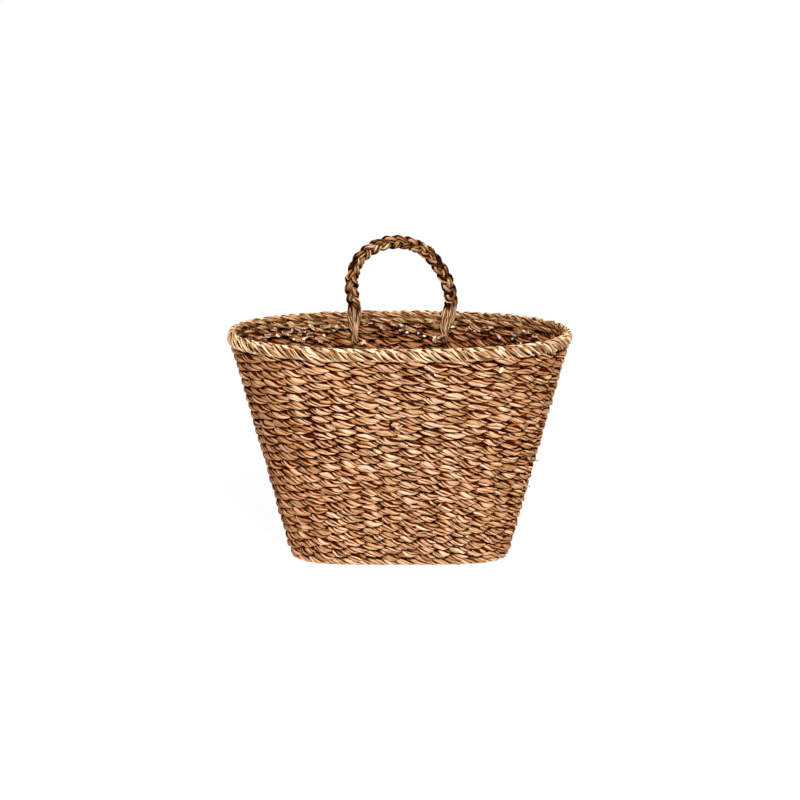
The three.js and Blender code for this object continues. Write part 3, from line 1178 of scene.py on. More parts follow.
@dataclass
class BorderRope:
    """The thick rope round the mouth, two cords that line it inside, and two thin cords on top of it."""

    wall: Wall
    finish: bpy.types.Material
    steps: int = 700
    seed: int = 77
    inner_shade: float = 0.42
    sag: float = 0.0005
    rope_offset: float = 0.0013
    rope_half: float = 0.0057
    lay: float = 0.040
    strips: tuple[Strip, ...] = plied(8, Strip(0, 0.60, 0.40, 0.27))
    sides: int = 12
    drift: float = 0.7
    own_drift: float = 0.38
    swell: float = 0.4
    calm: int = 3
    heart: tuple[float, float] = (0.5, 0.5)
    crease_shade: float = 4.8
    knots: int = 110
    level_drift: Drift = Drift(0.5 * MM, 40)
    depth_drift: Drift = Drift(0.03, 60)
    height_drift: Drift = Drift(0.06, 80)
    top: ThinCord = ThinCord((0.0029, 0.0029), 0.024, plied(2, Strip(0, 0.5, 0.5, 0.6)), 0.28)
    top_offsets: tuple[float, ...] = (0.0006, -0.0034)
    top_sink: float = 0.0006
    lining: ThinCord = ThinCord((0.0029, 0.0037), 0.042, SOFT_CORD)
    lining_offset: float = -0.0040
    lining_lifts: tuple[float, ...] = (0.0030, -0.0034)
    thin_sides: int = 6
    thin_drift: float = 0.8
    thin_knots: int = 80
    thin_offset_drift: Drift = Drift(0.6 * MM, 40)
    thin_level_drift: Drift = Drift(0.4 * MM, 44)
    thin_size_drift: Drift = Drift(0.15, 70)

    def make(self) -> None:
        """Makes the rope, the cords that line it inside, and the thin cords on top of it."""
        sizes = self.wall.sizes
        rng = np.random.default_rng(self.seed)
        share = np.arange(self.steps) / self.steps
        middle = sizes.body_height - sizes.border_height / 2 - self.sag
        points = self.wall.point(share, middle + self.level_drift.along(rng, share), self.rope_offset)
        path = Path.ring(points, LEVEL_RISE)
        turns = round(path.lengths[-1] / self.lay)
        depth = self.rope_half * (1 + self.depth_drift.along(rng, share))
        height = (sizes.border_height / 2 + self.sag) * (1 + self.height_drift.along(rng, share))
        skin = Skin()
        twist = Twist(self.strips, turns, sides=self.sides, drift=self.drift, own_drift=self.own_drift,
                      swell=self.swell, calm=self.calm, heart=self.heart, crease_shade=self.crease_shade)
        Cord(path, twist, depth, height, rng, inner_shade=self.inner_shade, knots=self.knots).lay(skin)
        dress(skin.build("border_rope"), BASKET, "border_rope", self.finish, "rim_border")
        skin = Skin()
        for lift in self.lining_lifts:
            self._ring(self.lining, self.lining_offset, middle + lift, rng).lay(skin)
        for offset in self.top_offsets:
            bulge = math.sqrt(1 - (2 * offset / sizes.border_width) ** 2)
            level = middle + bulge * sizes.border_height / 2 - self.top_sink
            self._ring(self.top, offset, level, rng).lay(skin)
        dress(skin.build("border_lining"), BASKET, "border_rope", self.finish)

    def _ring(self, thin: ThinCord, offset: float, level: float, rng: np.random.Generator) -> Cord:
        """A thin cord that lies loosely against the rope.

        Args:
            thin: Its sizes and its blades.
            offset: How far out of the wall's own line it lies.
            level: How high it lies.
            rng: The random numbers to draw from.

        Returns:
            The cord.
        """
        share = np.arange(self.steps) / self.steps
        out = offset + self.thin_offset_drift.along(rng, share)
        points = self.wall.point(share, self.wall.sizes.body_height, out)
        points[:, 2] = level + self.thin_level_drift.along(rng, share)
        path = Path.ring(points, LEVEL_RISE)
        turns = round(path.lengths[-1] / thin.lay)
        loose = 1 + self.thin_size_drift.along(rng, share)
        depth, tall = (half * loose for half in thin.halves)
        shade = self.inner_shade if offset < 0 else 0.0
        twist = Twist(thin.strips, turns, sides=self.thin_sides, drift=self.thin_drift)
        return Cord(path, twist, depth, tall, rng, inner_shade=shade, pale=np.full(self.steps, thin.pale),
                    knots=self.thin_knots)


@dataclass
class FootRope:
    """The flat waling round that the basket stands on."""

    wall: Wall
    finish: bpy.types.Material
    strips: tuple[Strip, ...] = SOFT_CORD
    lay: float = 0.030
    steps: int = 360
    seed: int = 78
    knots: int = 60
    top: float = 0.0078

    def make(self) -> None:
        """Makes the round."""
        rng = np.random.default_rng(self.seed)
        share = np.arange(self.steps) / self.steps
        height = np.full(self.steps, self.top / 2)
        depth = np.full(self.steps, self.wall.sizes.foot_width_over / 2)
        path = Path.ring(self.wall.point(share, height), LEVEL_RISE)
        turns = round(path.lengths[-1] / self.lay)
        skin = Skin()
        Cord(path, Twist(self.strips, turns), depth, height, rng, knots=self.knots).lay(skin)
        dress(skin.build("foot_rope"), BASKET, "foot_cord", self.finish, "foot_border")


@dataclass
class WovenBase:
    """The cords of the base, over and under the stakes that cross it."""

    wall: Wall
    finish: bpy.types.Material
    strips: tuple[Strip, ...] = SOFT_CORD
    heart: tuple[float, float] = (0.72, 0.72)
    bay_cords: int = 2
    outer_bay_share: float = 0.97
    thickness: float = 0.0032
    steps: int = 110
    back_seed: int = 300
    front_seed: int = 350
    knots: int = 16
    turns_per_metre: float = 32
    spread: float = 1.22
    size_drift: Drift = Drift(0.05, 20)
    size_span: float = 0.95
    edge_offset: float = -0.0068
    edge_halves: tuple[float, float] = (0.0021, 0.0019)
    edge_steps: int = 360
    edge_seed: int = 299
    edge_knots: int = 60
    edge_lay: float = 0.030
    edge_size_drift: Drift = Drift(0.1, 60)

    def make(self) -> None:
        """Makes every cord on both sides of the middle line, and the round that binds their ends."""
        skin = Skin()
        self._edge().lay(skin)
        dress(skin.build("base_edge"), BASKET, "base_cord", self.finish)
        for number, (place, width, parity) in enumerate(self._places()):
            for side, half in ((-1, "front"), (1, "back")):
                skin = Skin()
                self._cord(side * place, width, parity, number).lay(skin)
                piece = skin.build(f"woven_base_{half}_{number + 1:02d}")
                dress(piece, BASKET, "base_cord", self.finish, f"base_cord_{half}_{number + 1:02d}")

    def _edge(self) -> Cord:
        """The round of cord that lies on the stakes all round the base, in the corner below the wall.

        Returns:
            The cord.
        """
        rng = np.random.default_rng(self.edge_seed)
        share = np.arange(self.edge_steps) / self.edge_steps
        sizes = self.wall.sizes
        level = sizes.base_level + sizes.clearance + self.edge_halves[1]
        path = Path.ring(self.wall.point(share, level, self.edge_offset), LEVEL_RISE)
        turns = round(path.lengths[-1] / self.edge_lay)
        loose = 1 + self.edge_size_drift.along(rng, share)
        depth, height = (half * loose for half in self.edge_halves)
        twist = Twist(self.strips, turns, heart=self.heart)
        return Cord(path, twist, depth, height, rng, knots=self.edge_knots)

    def _places(self) -> list[tuple[float, float, int]]:
        """Lays the cords out behind the middle line.

        Returns:
            Where each lies, how wide it is, and a number that is odd or even as it passes the first stake.
        """
        sizes = self.wall.sizes
        places = []
        middle = (sizes.length_stakes - 1) // 2
        for bay in range(middle + 1):
            lines = [float(self.wall.point(1 / 4 + index / sizes.stakes, sizes.base_level)[1])
                     for index in (bay, bay + 1)]
            start = lines[0] + sizes.clearance
            wall_side = self.outer_bay_share * (sizes.foot_width / 2 - 2 * sizes.reach)
            finish = lines[1] - sizes.clearance if bay < middle else wall_side
            width = (finish - start - (self.bay_cords - 1) * sizes.gap) / self.bay_cords
            for cord in range(self.bay_cords):
                place = start + width / 2 + cord * (width + sizes.gap)
                places.append((place, width, middle + 1 + bay * (self.bay_cords + 1) + cord))
        return places

    def _cord(self, y: float, width: float, parity: int, number: int) -> Cord:
        """One cord of the base.

        Args:
            y: Where it lies.
            width: How wide it is.
            parity: A number that is odd or even as it passes over or under the first stake.
            number: Its number, for its own random look.

        Returns:
            The cord.
        """
        sizes = self.wall.sizes
        half, seed = ("back", self.back_seed) if y > 0 else ("front", self.front_seed)
        rng = np.random.default_rng(seed + number)
        node = f"base_cord_{half}_{number + 1:02d}"
        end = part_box(node)[1].x
        crossings = np.array([self.wall.point(self.wall.stake_share(stake), sizes.base_level)[0]
                              for stake in range(sizes.cross_stakes)])
        kept = np.abs(crossings) + 2 * self.thickness < end
        numbers = np.nonzero(kept)[0]
        knots = np.concatenate([[-end], crossings[kept], [end]])
        phases = np.concatenate([[numbers[0] - 0.5], numbers, [numbers[-1] + 0.5]]) + parity + 1
        x = np.linspace(-end, end, self.steps)
        wave = np.cos(math.pi * np.interp(x, knots, phases))
        lift = (sizes.clearance + self.thickness / 2) * wave
        points = np.stack([x, np.full_like(x, y), sizes.base_level + lift], axis=-1)
        path = Path.run(points, LEVEL_RISE)
        loose = 1 + self.size_drift.along(rng, np.linspace(0, self.size_span, self.steps))
        height = np.full(self.steps, self.thickness / 2)
        twist = Twist(self.strips, self.turns_per_metre * 2 * end, heart=self.heart)
        return Cord(path, twist, self.spread * width / 2 * loose, height, rng, knots=self.knots)


@dataclass(frozen=True)
class HandleSizes:
    """Sizes of the plaited handle, in metres, and shares of its arch."""

    overall_height: float = 0.356
    strand_radius: float = 0.0024
    tail_radius: float = 0.0019
    tip_radius: float = 0.0012
    half_width: float = 0.0056
    ramp: float = 0.013
    hook_radius: float = 0.0091
    crossing: float = 0.0064
    hook_start_share: float = 1 / 2
    hook_end_share: float = 47 / 36
    hook_courses: int = 2
    hook_gaps: int = 2
    leg_spread_share: float = 0.11
    border_top_bevel: float = 0.004
    arch_shares: tuple[tuple[float, float], ...] = (
        (-1, 0), (-1, 0.08), (-1, 0.3), (-1.06, 0.54), (-1.0, 0.71), (-0.82, 0.855), (-0.48, 0.965),
        (-0.1, 1), (0.3, 0.97), (0.62, 0.88), (0.86, 0.74), (1.03, 0.59), (1.12, 0.42), (1.11, 0.29),
        (1.03, 0.16), (1, 0.09), (1, 0),
    )


class Arch:
    """A smooth line through points, read by length."""

    # How many points a stretch gets, and how far to each side of a place its heading is measured.
    STRETCH_STEPS = 40
    PROBE = 0.4 * MM

    def __init__(self, points: np.ndarray) -> None:
        """Draws the line.

        Args:
            points: The points that it passes through.
        """
        ends = np.vstack([2 * points[0] - points[1], points, 2 * points[-1] - points[-2]])
        drawn = [self._stretch(ends[place:place + 4]) for place in range(len(points) - 1)]
        self.points = np.vstack([*drawn, points[-1:]])
        steps = np.linalg.norm(np.diff(self.points, axis=0), axis=1)
        self.lengths = np.concatenate([[0], np.cumsum(steps)])

    @classmethod
    def _stretch(cls, four: np.ndarray) -> np.ndarray:
        """The line between the middle two of four points, by the root of the spaces between them.

        Args:
            four: The four points.

        Returns:
            The line's points, all but the last.
        """
        gaps = np.sqrt(np.linalg.norm(np.diff(four, axis=0), axis=1))
        before, here, after, beyond = four
        start = (here - before) / gaps[0] - (after - before) / (gaps[0] + gaps[1]) + (after - here) / gaps[1]
        stop = (after - here) / gaps[1] - (beyond - here) / (gaps[1] + gaps[2]) + (beyond - after) / gaps[2]
        start, stop = start * gaps[1], stop * gaps[1]
        time = np.arange(cls.STRETCH_STEPS)[:, None] / cls.STRETCH_STEPS
        square, cube = time ** 2, time ** 3
        return (here + start * time + (3 * (after - here) - 2 * start - stop) * square
                + (2 * (here - after) + start + stop) * cube)

    @property
    def length(self) -> float:
        """The whole length."""
        return float(self.lengths[-1])

    def at(self, distance: np.ndarray) -> tuple[np.ndarray, np.ndarray]:
        """Reads the line.

        Args:
            distance: Lengths along it.

        Returns:
            The points there, and the headings.
        """
        here, behind, ahead = (self._point(distance + shift) for shift in (0, -self.PROBE, self.PROBE))
        return here, unit(ahead - behind)

    def _point(self, distance: np.ndarray) -> np.ndarray:
        """The points at lengths along the line, kept between its ends."""
        kept = np.clip(distance, 0, self.length)
        return np.stack([np.interp(kept, self.lengths, self.points[:, axis]) for axis in range(2)], axis=-1)


class HandleLine:
    """Where the handle hooks round the weave, how far it leans back, and the arch of its middle.

    The pivot is the hinge's right end, at the height level. A leg is as long as leg, and the plaiting starts
    at plait_start from each foot. Tail_pitch is how far apart two tails lie.
    """

    def __init__(self, wall: Wall, own: HandleSizes, crown_lift: float) -> None:
        """Works out the line.

        Args:
            wall: The wall.
            own: The handle's sizes.
            crown_lift: How much higher than its sizes the crown is.
        """
        sizes = wall.sizes
        self.wall = wall
        self.own = own
        course_pitch = 2 * sizes.pitch
        level = sizes.weave_bottom + (sizes.courses - own.hook_courses) * course_pitch
        self.level = level + (course_pitch - sizes.gap) / 2
        self.share = 1 / 2 - own.hook_gaps / sizes.stakes
        self.pivot = wall.point(self.share, self.level)
        self.tail_pitch = 2 * own.tail_radius + sizes.gap
        self.lean = self._lean()
        self.leg = (sizes.body_height - self.level) / math.cos(self.lean)
        crown = (own.overall_height - own.half_width - own.strand_radius - self.level) / math.cos(self.lean)
        self.arch = Arch(np.array(own.arch_shares) * [self.pivot[0], crown * crown_lift])
        self.plait_start = self.leg + own.ramp
        self.plait_length = self.arch.length - 2 * self.plait_start
        self.crossings = round(self.plait_length / own.crossing)

    def _lean(self) -> float:
        """How far the handle leans back, until its wider leg touches the border.

        Returns:
            The angle.
        """
        own, sizes = self.own, self.wall.sizes
        touch_height = sizes.body_height - own.border_top_bevel
        rest = self.wall.point(self.share, touch_height, -sizes.border_width / 2)
        beside = np.array([self.share - PROBE_SHARE, self.share + PROBE_SHARE])
        ends = self.wall.line(beside, np.full(2, sizes.body_height))
        along = unit(ends[1] - ends[0])
        reach = own.leg_spread_share * self.pivot[0] + self.tail_pitch + own.tail_radius
        back = rest[1] - self.pivot[1] - abs(along[1] / along[0]) * reach
        rise = rest[2] - self.pivot[2]
        stand_off = own.hook_radius - own.tail_radius - sizes.gap
        return math.acos(-stand_off / math.hypot(back, rise)) - math.atan2(rise, back)

    def turn(self, strand: int, distance: np.ndarray) -> np.ndarray:
        """How far a strand has gone in its plaiting.

        Args:
            strand: Which strand.
            distance: Lengths along the arch.

        Returns:
            The angle at each.
        """
        worked = np.clip((distance - self.plait_start) / self.plait_length, 0, 1)
        return strand * TURN / len(STRANDS) + worked * self.crossings * math.pi / len(STRANDS)

    def leaned(self, vectors: np.ndarray) -> np.ndarray:
        """Leans what stands upright back with the handle.

        Args:
            vectors: Points or directions.

        Returns:
            The same, turned about the handle's hinge.
        """
        cos, sin = math.cos(self.lean), math.sin(self.lean)
        return vectors @ np.array([[1, 0, 0], [0, cos, -sin], [0, sin, cos]])


@dataclass(frozen=True)
class Strand:
    """One strand of the handle from tip to tip.

    Over is how far before or behind the plait's middle each point of it counts as lying, for its shade, and
    plaited is 1 in the plait and 0 in the legs and the hooks.
    """

    path: Path
    depth: np.ndarray
    height: np.ndarray
    over: np.ndarray
    plaited: np.ndarray


@dataclass
class PlaitedHandle:
    """Three strands of seagrass blades, plaited, with their tails hooked through the back wall.

    Halves are half a strand's depth and half its width. Its leg_painted_light and plait_painted_shade lift
    its tint on the legs as painted light and lower it on the plait as painted shade.
    """

    wall: Wall
    finish: bpy.types.Material
    sizes: HandleSizes = HandleSizes()
    strips: tuple[Strip, ...] = (
        Strip(0.0, 0.55, 0.45, 0.44), Strip(0.23, 0.52, 0.42, 0.36), Strip(0.48, 0.58, 0.42, 0.44),
        Strip(0.74, 0.54, 0.42, 0.38),
    )
    seed: int = 500
    step: float = 0.0011
    swing: float = 0.0047
    sway: float = 0.0036
    plait_halves: tuple[float, float] = (0.0024, 0.0040)
    plait_painted_shade: float = -0.192
    crown_lift: float = 1.009
    leg_halves: tuple[float, float] = (0.0025, 0.0028)
    leg_spread: float = 1.4
    leg_shade: float = 0.0016
    leg_painted_light: float = 0.32
    foot_halves: tuple[float, float] = (0.0017, 0.0019)
    foot_squeeze: float = 0.6
    taper_power: int = 4
    lay: float = 0.085
    drift: float = 0.8
    own_drift: float = 0.35
    crease_shade: float = 3.0
    knots: int = 64

    def make(self) -> None:
        """Makes the three strands."""
        line = HandleLine(self.wall, self.sizes, self.crown_lift)
        reach = self.sway + self.plait_halves[0]
        for number, letter in enumerate(STRANDS):
            strand = self._strand(number, line)
            skin = Skin()
            rng = np.random.default_rng(self.seed + number)
            twist = Twist(self.strips, strand.path.lengths[-1] / self.lay, drift=self.drift,
                          own_drift=self.own_drift, crease_shade=self.crease_shade)
            # Painted light and shade: the legs are painted paler and the plait darker.
            pale = self.leg_painted_light + (self.plait_painted_shade - self.leg_painted_light) * strand.plaited
            Cord(strand.path, twist, strand.depth, strand.height, rng, shade=strand.over, shade_reach=reach,
                 pale=pale, knots=self.knots).lay(skin)
            piece = skin.build(f"plaited_strand_{letter}")
            dress(piece, HANDLE, "handle_plait", self.finish, f"handle_strand_{letter}")

    def _strand(self, number: int, line: HandleLine) -> Strand:
        """One strand.

        Args:
            number: Which strand.
            line: The handle's line.

        Returns:
            The strand.
        """
        length = line.arch.length
        distance = np.linspace(0, length, round(length / self.step))
        centre, heading = line.arch.at(distance)
        turn = line.turn(number, distance)
        to_foot = np.minimum(distance, length - distance)
        plaited = smooth(line.leg, line.plait_start, to_foot)
        climbed = smooth(0.0, line.leg, to_foot)
        apart = line.tail_pitch * (self.foot_squeeze + (self.leg_spread - self.foot_squeeze) * climbed)
        across = (1 - plaited) * np.round(np.sin(turn)) * apart + plaited * self.swing * np.sin(turn)
        behind = plaited * self.sway * np.sin(2 * turn)
        body = np.stack([
            centre[:, 0] + heading[:, 1] * across,
            behind - self.sizes.hook_radius,
            centre[:, 1] - heading[:, 0] * across,
        ], axis=-1)
        first, last = (self._hook(number, line, side, place) for side, place in ((-1, 0.0), (1, length)))
        wound = self._wound
        tip_share = self.sizes.tip_radius / self.sizes.tail_radius
        hook_halves = np.array(self.foot_halves) * (1 + (tip_share - 1) * wound ** self.taper_power)[:, None]
        legs = crossfade(self.foot_halves, self.leg_halves, climbed)
        halves = crossfade(legs, self.plait_halves, plaited)
        halves = np.vstack([hook_halves[::-1], halves, hook_halves])
        plaited, behind = np.pad(plaited, len(wound)), np.pad(behind, len(wound))
        over = behind - (1 - plaited) * self.leg_shade
        path = self._path(np.vstack([first[::-1], body, last]), line, len(wound))
        return Strand(path, halves[:, 0], halves[:, 1], over, plaited)

    @property
    def _wound(self) -> np.ndarray:
        """The places of a hook's points.

        Returns:
            How far along it each lies, as a share from its foot to its tip.
        """
        own = self.sizes
        length = own.hook_radius * TURN * (own.hook_end_share - own.hook_start_share)
        return np.linspace(0, 1, round(length / self.step))[1:]

    def _hook(self, number: int, line: HandleLine, side: int, place: float) -> np.ndarray:
        """The tail of a strand that is hooked round the weave.

        Args:
            number: Which strand.
            line: The handle's line.
            side: -1 on the left and 1 on the right.
            place: The length along the arch at which the leg ends there.

        Returns:
            The tail's points from its foot to its tip, with the handle upright.
        """
        own = self.sizes
        angle = TURN * (own.hook_start_share + (own.hook_end_share - own.hook_start_share) * self._wound)
        rank = round(math.sin(float(line.turn(number, np.array(place)))))
        x = side * (line.pivot[0] - rank * line.tail_pitch * self.foot_squeeze)
        around = own.hook_radius * np.cos(angle), own.hook_radius * np.sin(angle)
        return np.stack([np.full_like(angle, x), *around], axis=-1)

    @staticmethod
    def _path(upright: np.ndarray, line: HandleLine, hook_points: int) -> Path:
        """Leans a strand back with the handle.

        Args:
            upright: Its points, with the handle upright.
            line: The handle's line.
            hook_points: How many of them lie in each hook.

        Returns:
            Its path, whose up points across the handle.
        """
        flat = np.gradient(upright, axis=0) * [1, 0, 1]
        flat[:hook_points], flat[-hook_points:] = LEVEL_RISE, -LEVEL_RISE
        side = line.leaned(unit(np.cross(unit(flat), [0, 1, 0])))
        points = line.leaned(upright) + [0, line.pivot[1], line.level]
        along = unit(np.gradient(points, axis=0))
        return Path(points, unit(np.cross(side, along)), side, False)


@dataclass(frozen=True)
class CutGrass:
    """A finish of freshly cut seagrass, for the ends of the cord."""

    name: str
    light: Tone = Tone.PALE
    dark: Tone = Tone.TAN
    scale: float = 260.0
    detail: float = 2.0
    span: tuple[float, float] = (0.35, 0.65)
    roughness: float = 0.7
    specular: float = 0.1

    def make(self) -> bpy.types.Material:
        """Builds the material.

        Returns:
            The material.
        """
        shader = Shader.material(self.name)
        place = shader.node("ShaderNodeTexCoord", {}, {}, "Object")
        patch = shader.node("ShaderNodeTexNoise", {}, {
            "Vector": place, "Scale": self.scale, "Detail": self.detail,
        })
        share = shader.range(patch, *self.span, 0.0, 1.0)
        colour = shader.mix(share, self.light.light, self.dark.light)
        surface = shader.node("ShaderNodeBsdfPrincipled", {}, {
            "Base Color": colour, "Roughness": self.roughness, "Specular IOR Level": self.specular,
        })
        return shader.finish(surface)


@dataclass
class LooseEnds:
    """Cut ends of cord and stray fibres that stand off the wall, as curved strips of grass.

    Each spot is how far round the wall an end comes out of it, and how high. An end's path is set in shares
    of its own length, and its arms are the pulls of the curve at its root and at its tip.
    """

    wall: Wall
    name: str
    finish: bpy.types.Material
    spots: tuple[tuple[float, float], ...]
    inward: bool
    width: float = 0.0014
    thickness: float = 0.0005
    length: float = 0.009
    seed: int = 11
    share_spread: float = 0.002
    height_spread: float = 1 * MM
    root_depth: float = 1.5 * MM
    face_gap: float = 1 * MM
    probe_share: float = 0.002
    steepness: tuple[float, float] = (-0.6, 0.8)
    length_span: tuple[float, float] = (0.6, 1.3)
    out_share: float = 0.45
    aside_share: float = 0.6
    root_rise: float = 0.5
    root_arm: float = 0.5
    tip_turn: float = 0.2
    tip_arms: tuple[float, float] = (0.45, 0.3)
    tip_size: tuple[float, float] = (0.5, 1.0)
    curve_steps: int = 6
    edge_steps: int = 1

    def make(self) -> None:
        """Makes every end and joins them into one piece."""
        rng = np.random.default_rng(self.seed)
        bpy.ops.object.select_all(action="DESELECT")
        ends = [self._end(share, height, rng) for share, height in self.spots]
        for end in ends:
            end.select_set(True)
        bpy.context.view_layer.objects.active = ends[0]
        bpy.ops.object.join()
        piece = bpy.context.object
        piece.name = self.name
        dress(piece, BASKET, "wall_cord", self.finish)

    def _end(self, share: float, height: float, rng: np.random.Generator) -> bpy.types.Object:
        """One curved strip.

        Args:
            share: How far round the wall it comes out.
            height: How high.
            rng: The random numbers to draw from.

        Returns:
            The strip, at the origin.
        """
        reach = self.wall.sizes.reach
        share = share + rng.uniform(-self.share_spread, self.share_spread)
        height = height + self.height_spread * rng.uniform(-1, 1)
        root = self._point(share, height, reach - self.root_depth)
        face = self._point(share, height, reach + self.face_gap)
        ahead = self._point(share + self.probe_share, height, reach)
        out = (face - root).normalized()
        along = (ahead - face).normalized() * (1 if rng.uniform() < 0.5 else -1)
        rise = Vector(LEVEL_RISE) * rng.uniform(*self.steepness)
        length = self.length * rng.uniform(*self.length_span)
        tip = root + out * length * self.out_share + (along + rise) * length * self.aside_share
        strip = self._blank()
        first, last = strip.data.splines[0].bezier_points
        for point in (first, last):
            point.handle_left_type = point.handle_right_type = "FREE"
        arm = (out + rise * self.root_rise) * length * self.root_arm
        first.co, first.handle_left, first.handle_right = root, root - arm, root + arm
        before, after = ((along * self.tip_turn + out + rise) * length * pull for pull in self.tip_arms)
        last.co, last.handle_left, last.handle_right = tip, tip + before, tip - after
        first.tilt, last.tilt = rng.uniform(0, math.pi), rng.uniform(0, math.pi)
        last.radius = rng.uniform(*self.tip_size)
        bpy.ops.object.convert(target="MESH")
        return bpy.context.object

    def _point(self, share: float, height: float, offset: float) -> Vector:
        """A point off the wall, on the side that the ends come out of.

        Args:
            share: How far round it is.
            height: How high.
            offset: How far off the middle of the wall.

        Returns:
            The point.
        """
        side = -1 if self.inward else 1
        return Vector(self.wall.point(np.array(share), height, side * offset).tolist())

    def _blank(self) -> bpy.types.Object:
        """Starts a strip.

        Returns:
            A flat one along a curve of two points, not yet bent.
        """
        bpy.ops.curve.primitive_bezier_curve_add()
        strip = bpy.context.object
        strip.data.dimensions = "3D"
        strip.data.resolution_u = self.curve_steps
        strip.data.bevel_depth = self.thickness
        strip.data.extrude = self.width
        strip.data.bevel_resolution = self.edge_steps
        strip.data.use_fill_caps = True
        return strip


@dataclass
class Stakes:
    """The cane stakes, which keep the shape that they have in the frame."""

    finish: bpy.types.Material

    def make(self) -> None:
        """Gives every stake its finish."""
        for name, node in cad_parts.items():
            if "stake" in name:
                node.data.materials.clear()
                node.data.materials.append(self.finish)
        log.info("stakes dressed")


@dataclass(frozen=True)
class Lamp:
    """A lamp as far off as the sun.

    Its angles are in degrees: how wide it looks from the basket, how high it stands, with more than 90 for
    behind, and how far it is turned to the right.
    """

    name: str
    strength: float
    width: float
    height: float
    turn: float

    def make(self) -> None:
        """Adds the lamp."""
        data = bpy.data.lights.new(self.name, "SUN")
        data.energy = self.strength
        data.angle = math.radians(self.width)
        lamp = bpy.data.objects.new(self.name, data)
        lamp.rotation_euler = (math.pi / 2 - math.radians(self.height), math.radians(self.turn), 0)
        bpy.context.scene.collection.objects.link(lamp)


@dataclass
class Studio:
    """The floor, the light and the camera.

    Lengths are in metres, but the sensor in millimetres, and angles in degrees. The camera's place and its
    focal length, in pixels, were fitted to the photo's outline.
    """

    wall: Wall
    distance: float = 2.6
    elevation: float = 15.7
    focal_px: float = 2246.0
    centre_px: tuple[float, float] = (399.8, 400.0)
    picture_px: int = 800
    aim_height: float = 0.181
    floor_half: float = 4.0
    floor_colour: tuple[float, float, float, float] = (0.86, 0.86, 0.86, 1.0)
    floor_glow: float = 0.96
    foot_inset: float = 0.004
    shade_from: float = 0.7
    sensor: float = 36.0
    sky: float = 0.13
    lamps: tuple[Lamp, ...] = (
        Lamp("key", strength=3.25, width=10, height=48, turn=7),
        Lamp("fill", strength=1.05, width=100, height=25, turn=6),
        Lamp("back", strength=1.5, width=60, height=140, turn=-10),
    )

    def make(self) -> None:
        """Makes all of it."""
        self._camera()
        self._floor()
        self._world()
        for lamp in self.lamps:
            lamp.make()
        bpy.context.scene.view_settings.view_transform = "Standard"

    def _camera(self) -> None:
        """Places the camera."""
        data = bpy.data.cameras.new("camera")
        data.sensor_width = self.sensor
        data.lens = self.focal_px / self.picture_px * self.sensor
        data.shift_x = (self.picture_px / 2 - self.centre_px[0]) / self.picture_px
        data.shift_y = (self.centre_px[1] - self.picture_px / 2) / self.picture_px
        camera = bpy.data.objects.new("camera", data)
        tilt = math.radians(self.elevation)
        away = Vector((0, -math.cos(tilt), math.sin(tilt)))
        camera.location = Vector((0, 0, self.aim_height)) + away * self.distance
        camera.rotation_euler = away.to_track_quat("Z", "Y").to_euler()
        bpy.context.scene.collection.objects.link(camera)
        bpy.context.scene.camera = camera

    def _floor(self) -> None:
        """Lays a white floor, which glows to the camera except under the basket's foot."""
        bpy.ops.object.select_all(action="DESELECT")
        bpy.ops.mesh.primitive_plane_add(size=2 * self.floor_half, location=(0, 0, 0))
        floor = bpy.context.object
        floor.name = "floor"
        shader = Shader.material("white_floor")
        seen = shader.node("ShaderNodeLightPath", {}, {}, "Is Camera Ray")
        paper = shader.node("ShaderNodeBsdfDiffuse", {}, {"Color": self.floor_colour})
        glow = shader.node("ShaderNodeEmission", {}, {"Color": WHITE, "Strength": 1.0})
        surface = shader.node("ShaderNodeMixShader", {}, {0: seen * self._outside(shader), 1: paper, 2: glow})
        floor.data.materials.append(shader.finish(surface))

    def _outside(self, shader: Shader) -> Socket:
        """Adds how much of the floor's glow shows.

        Args:
            shader: The floor's shader.

        Returns:
            Nothing in the middle of the foot's oval, and all of it outside the oval.
        """
        sizes = self.wall.sizes
        spot = shader.node("ShaderNodeTexCoord", {}, {}, "Object")
        away = []
        for axis, size in enumerate((sizes.foot_length, sizes.foot_width)):
            place = shader.node("ShaderNodeSeparateXYZ", {}, {"Vector": spot}, axis)
            place = place * (1 / (size / 2 - self.foot_inset))
            away.append(place * place * place * place)
        return shader.range(away[0] + away[1], self.shade_from, 1.0, 0.0, self.floor_glow)

    def _world(self) -> None:
        """Lights everything softly, in front of a white background."""
        shader = Shader(bpy.data.worlds.new("soft_light"))
        seen = shader.node("ShaderNodeLightPath", {}, {}, "Is Camera Ray")
        level = shader.range(seen, 0.0, 1.0, self.sky, 1.0)
        background = shader.node("ShaderNodeBackground", {}, {"Color": WHITE, "Strength": level})
        bpy.context.scene.world = shader.finish(background)


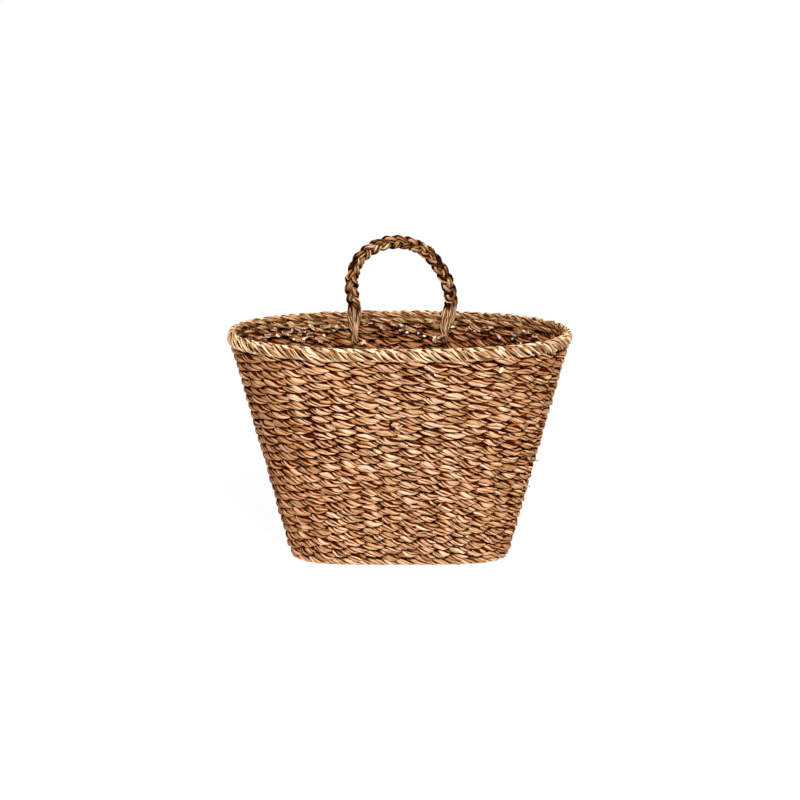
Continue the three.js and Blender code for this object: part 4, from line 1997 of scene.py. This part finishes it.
def dress_basket(wall: Wall) -> None:
    """Dresses the cords, the rope and the stakes.

    Args:
        wall: The wall.
    """
    WovenWall(wall, Seagrass("wall_cord").make()).make()
    border = Seagrass("border_rope", tones=(Tone.BROWN, Tone.TAN, Tone.WHEAT, Tone.PALE), pink=0.12,
                      contrast=1.12, middle=0.43, shades=RIM_SHADES)
    BorderRope(wall, border.make()).make()
    FootRope(wall, Seagrass("foot_cord").make()).make()
    WovenBase(wall, Seagrass("base_cord").make()).make()
    plait = Seagrass("handle_plait", tones=(Tone.DARK, Tone.UMBER, Tone.TAN, Tone.SAND), pink=0.0,
                     olive=0.5, contrast=1.4, middle=0.57)
    PlaitedHandle(wall, plait.make()).make()
    Stakes(Cane().make()).make()


def add_ends(wall: Wall) -> None:
    """Adds the cut ends of the cord, dark strips painted as the shade of hollows, pale discs painted as light
    through holes in the weave, and the stray fibres.

    Args:
        wall: The wall that they come out of.
    """
    pale = CutGrass("cut_ends").make()
    ragged = CutGrass("ragged_ends", Tone.CREAM, Tone.BROWN).make()
    inside = tuple(spot for spot in INSIDE_ENDS for _ in range(ENDS_PER_SPOT))
    LooseEnds(wall, "cut_ends_inside", ragged, inside, inward=True).make()
    joins = tuple(spot for spot in FRONT_JOINS for _ in range(ENDS_PER_JOIN))
    LooseEnds(wall, "cut_ends_outside", pale, joins, inward=False, width=0.0013, length=0.0068,
              seed=12).make()
    LooseEnds(wall, "small_ends_outside", pale, SMALL_JOINS, inward=False, width=0.0007, length=0.0045,
              seed=16).make()
    # Painted shade: dark strips where the joins leave hollows.
    hollow_shade = CutGrass("hollow_shade_strips", Tone.DARK, Tone.DARK).make()
    LooseEnds(wall, "hollow_shade_strips", hollow_shade, HOLLOW_SHADE_SPOTS, inward=False, width=0.0016, thickness=0.0008,
              length=0.003, seed=15).make()
    # Painted light: near-white discs where light would show through holes in the back wall.
    hole_light = CutGrass("hole_light_discs", Tone.HOLE_LIGHT, Tone.PALE).make()
    LooseEnds(wall, "hole_light_discs_inside", hole_light, HOLE_LIGHT_SPOTS, inward=True, width=0.0008, thickness=0.0009,
              length=0.0035, seed=14).make()
    stray = CutGrass("stray_fibres", Tone.UMBER, Tone.DARK).make()
    LooseEnds(wall, "stray_fibres", stray, STRAY_FIBRES, inward=False, width=0.0002, thickness=0.00022,
              length=0.0075, seed=13).make()


def main() -> None:
    """Builds the studio and dresses the basket."""
    logging.basicConfig(level=logging.INFO, format="%(name)s: %(message)s")
    wall = Wall(WallSizes())
    Studio(wall).make()
    dress_basket(wall)
    add_ends(wall)


if __name__ == "__main__":
    main()
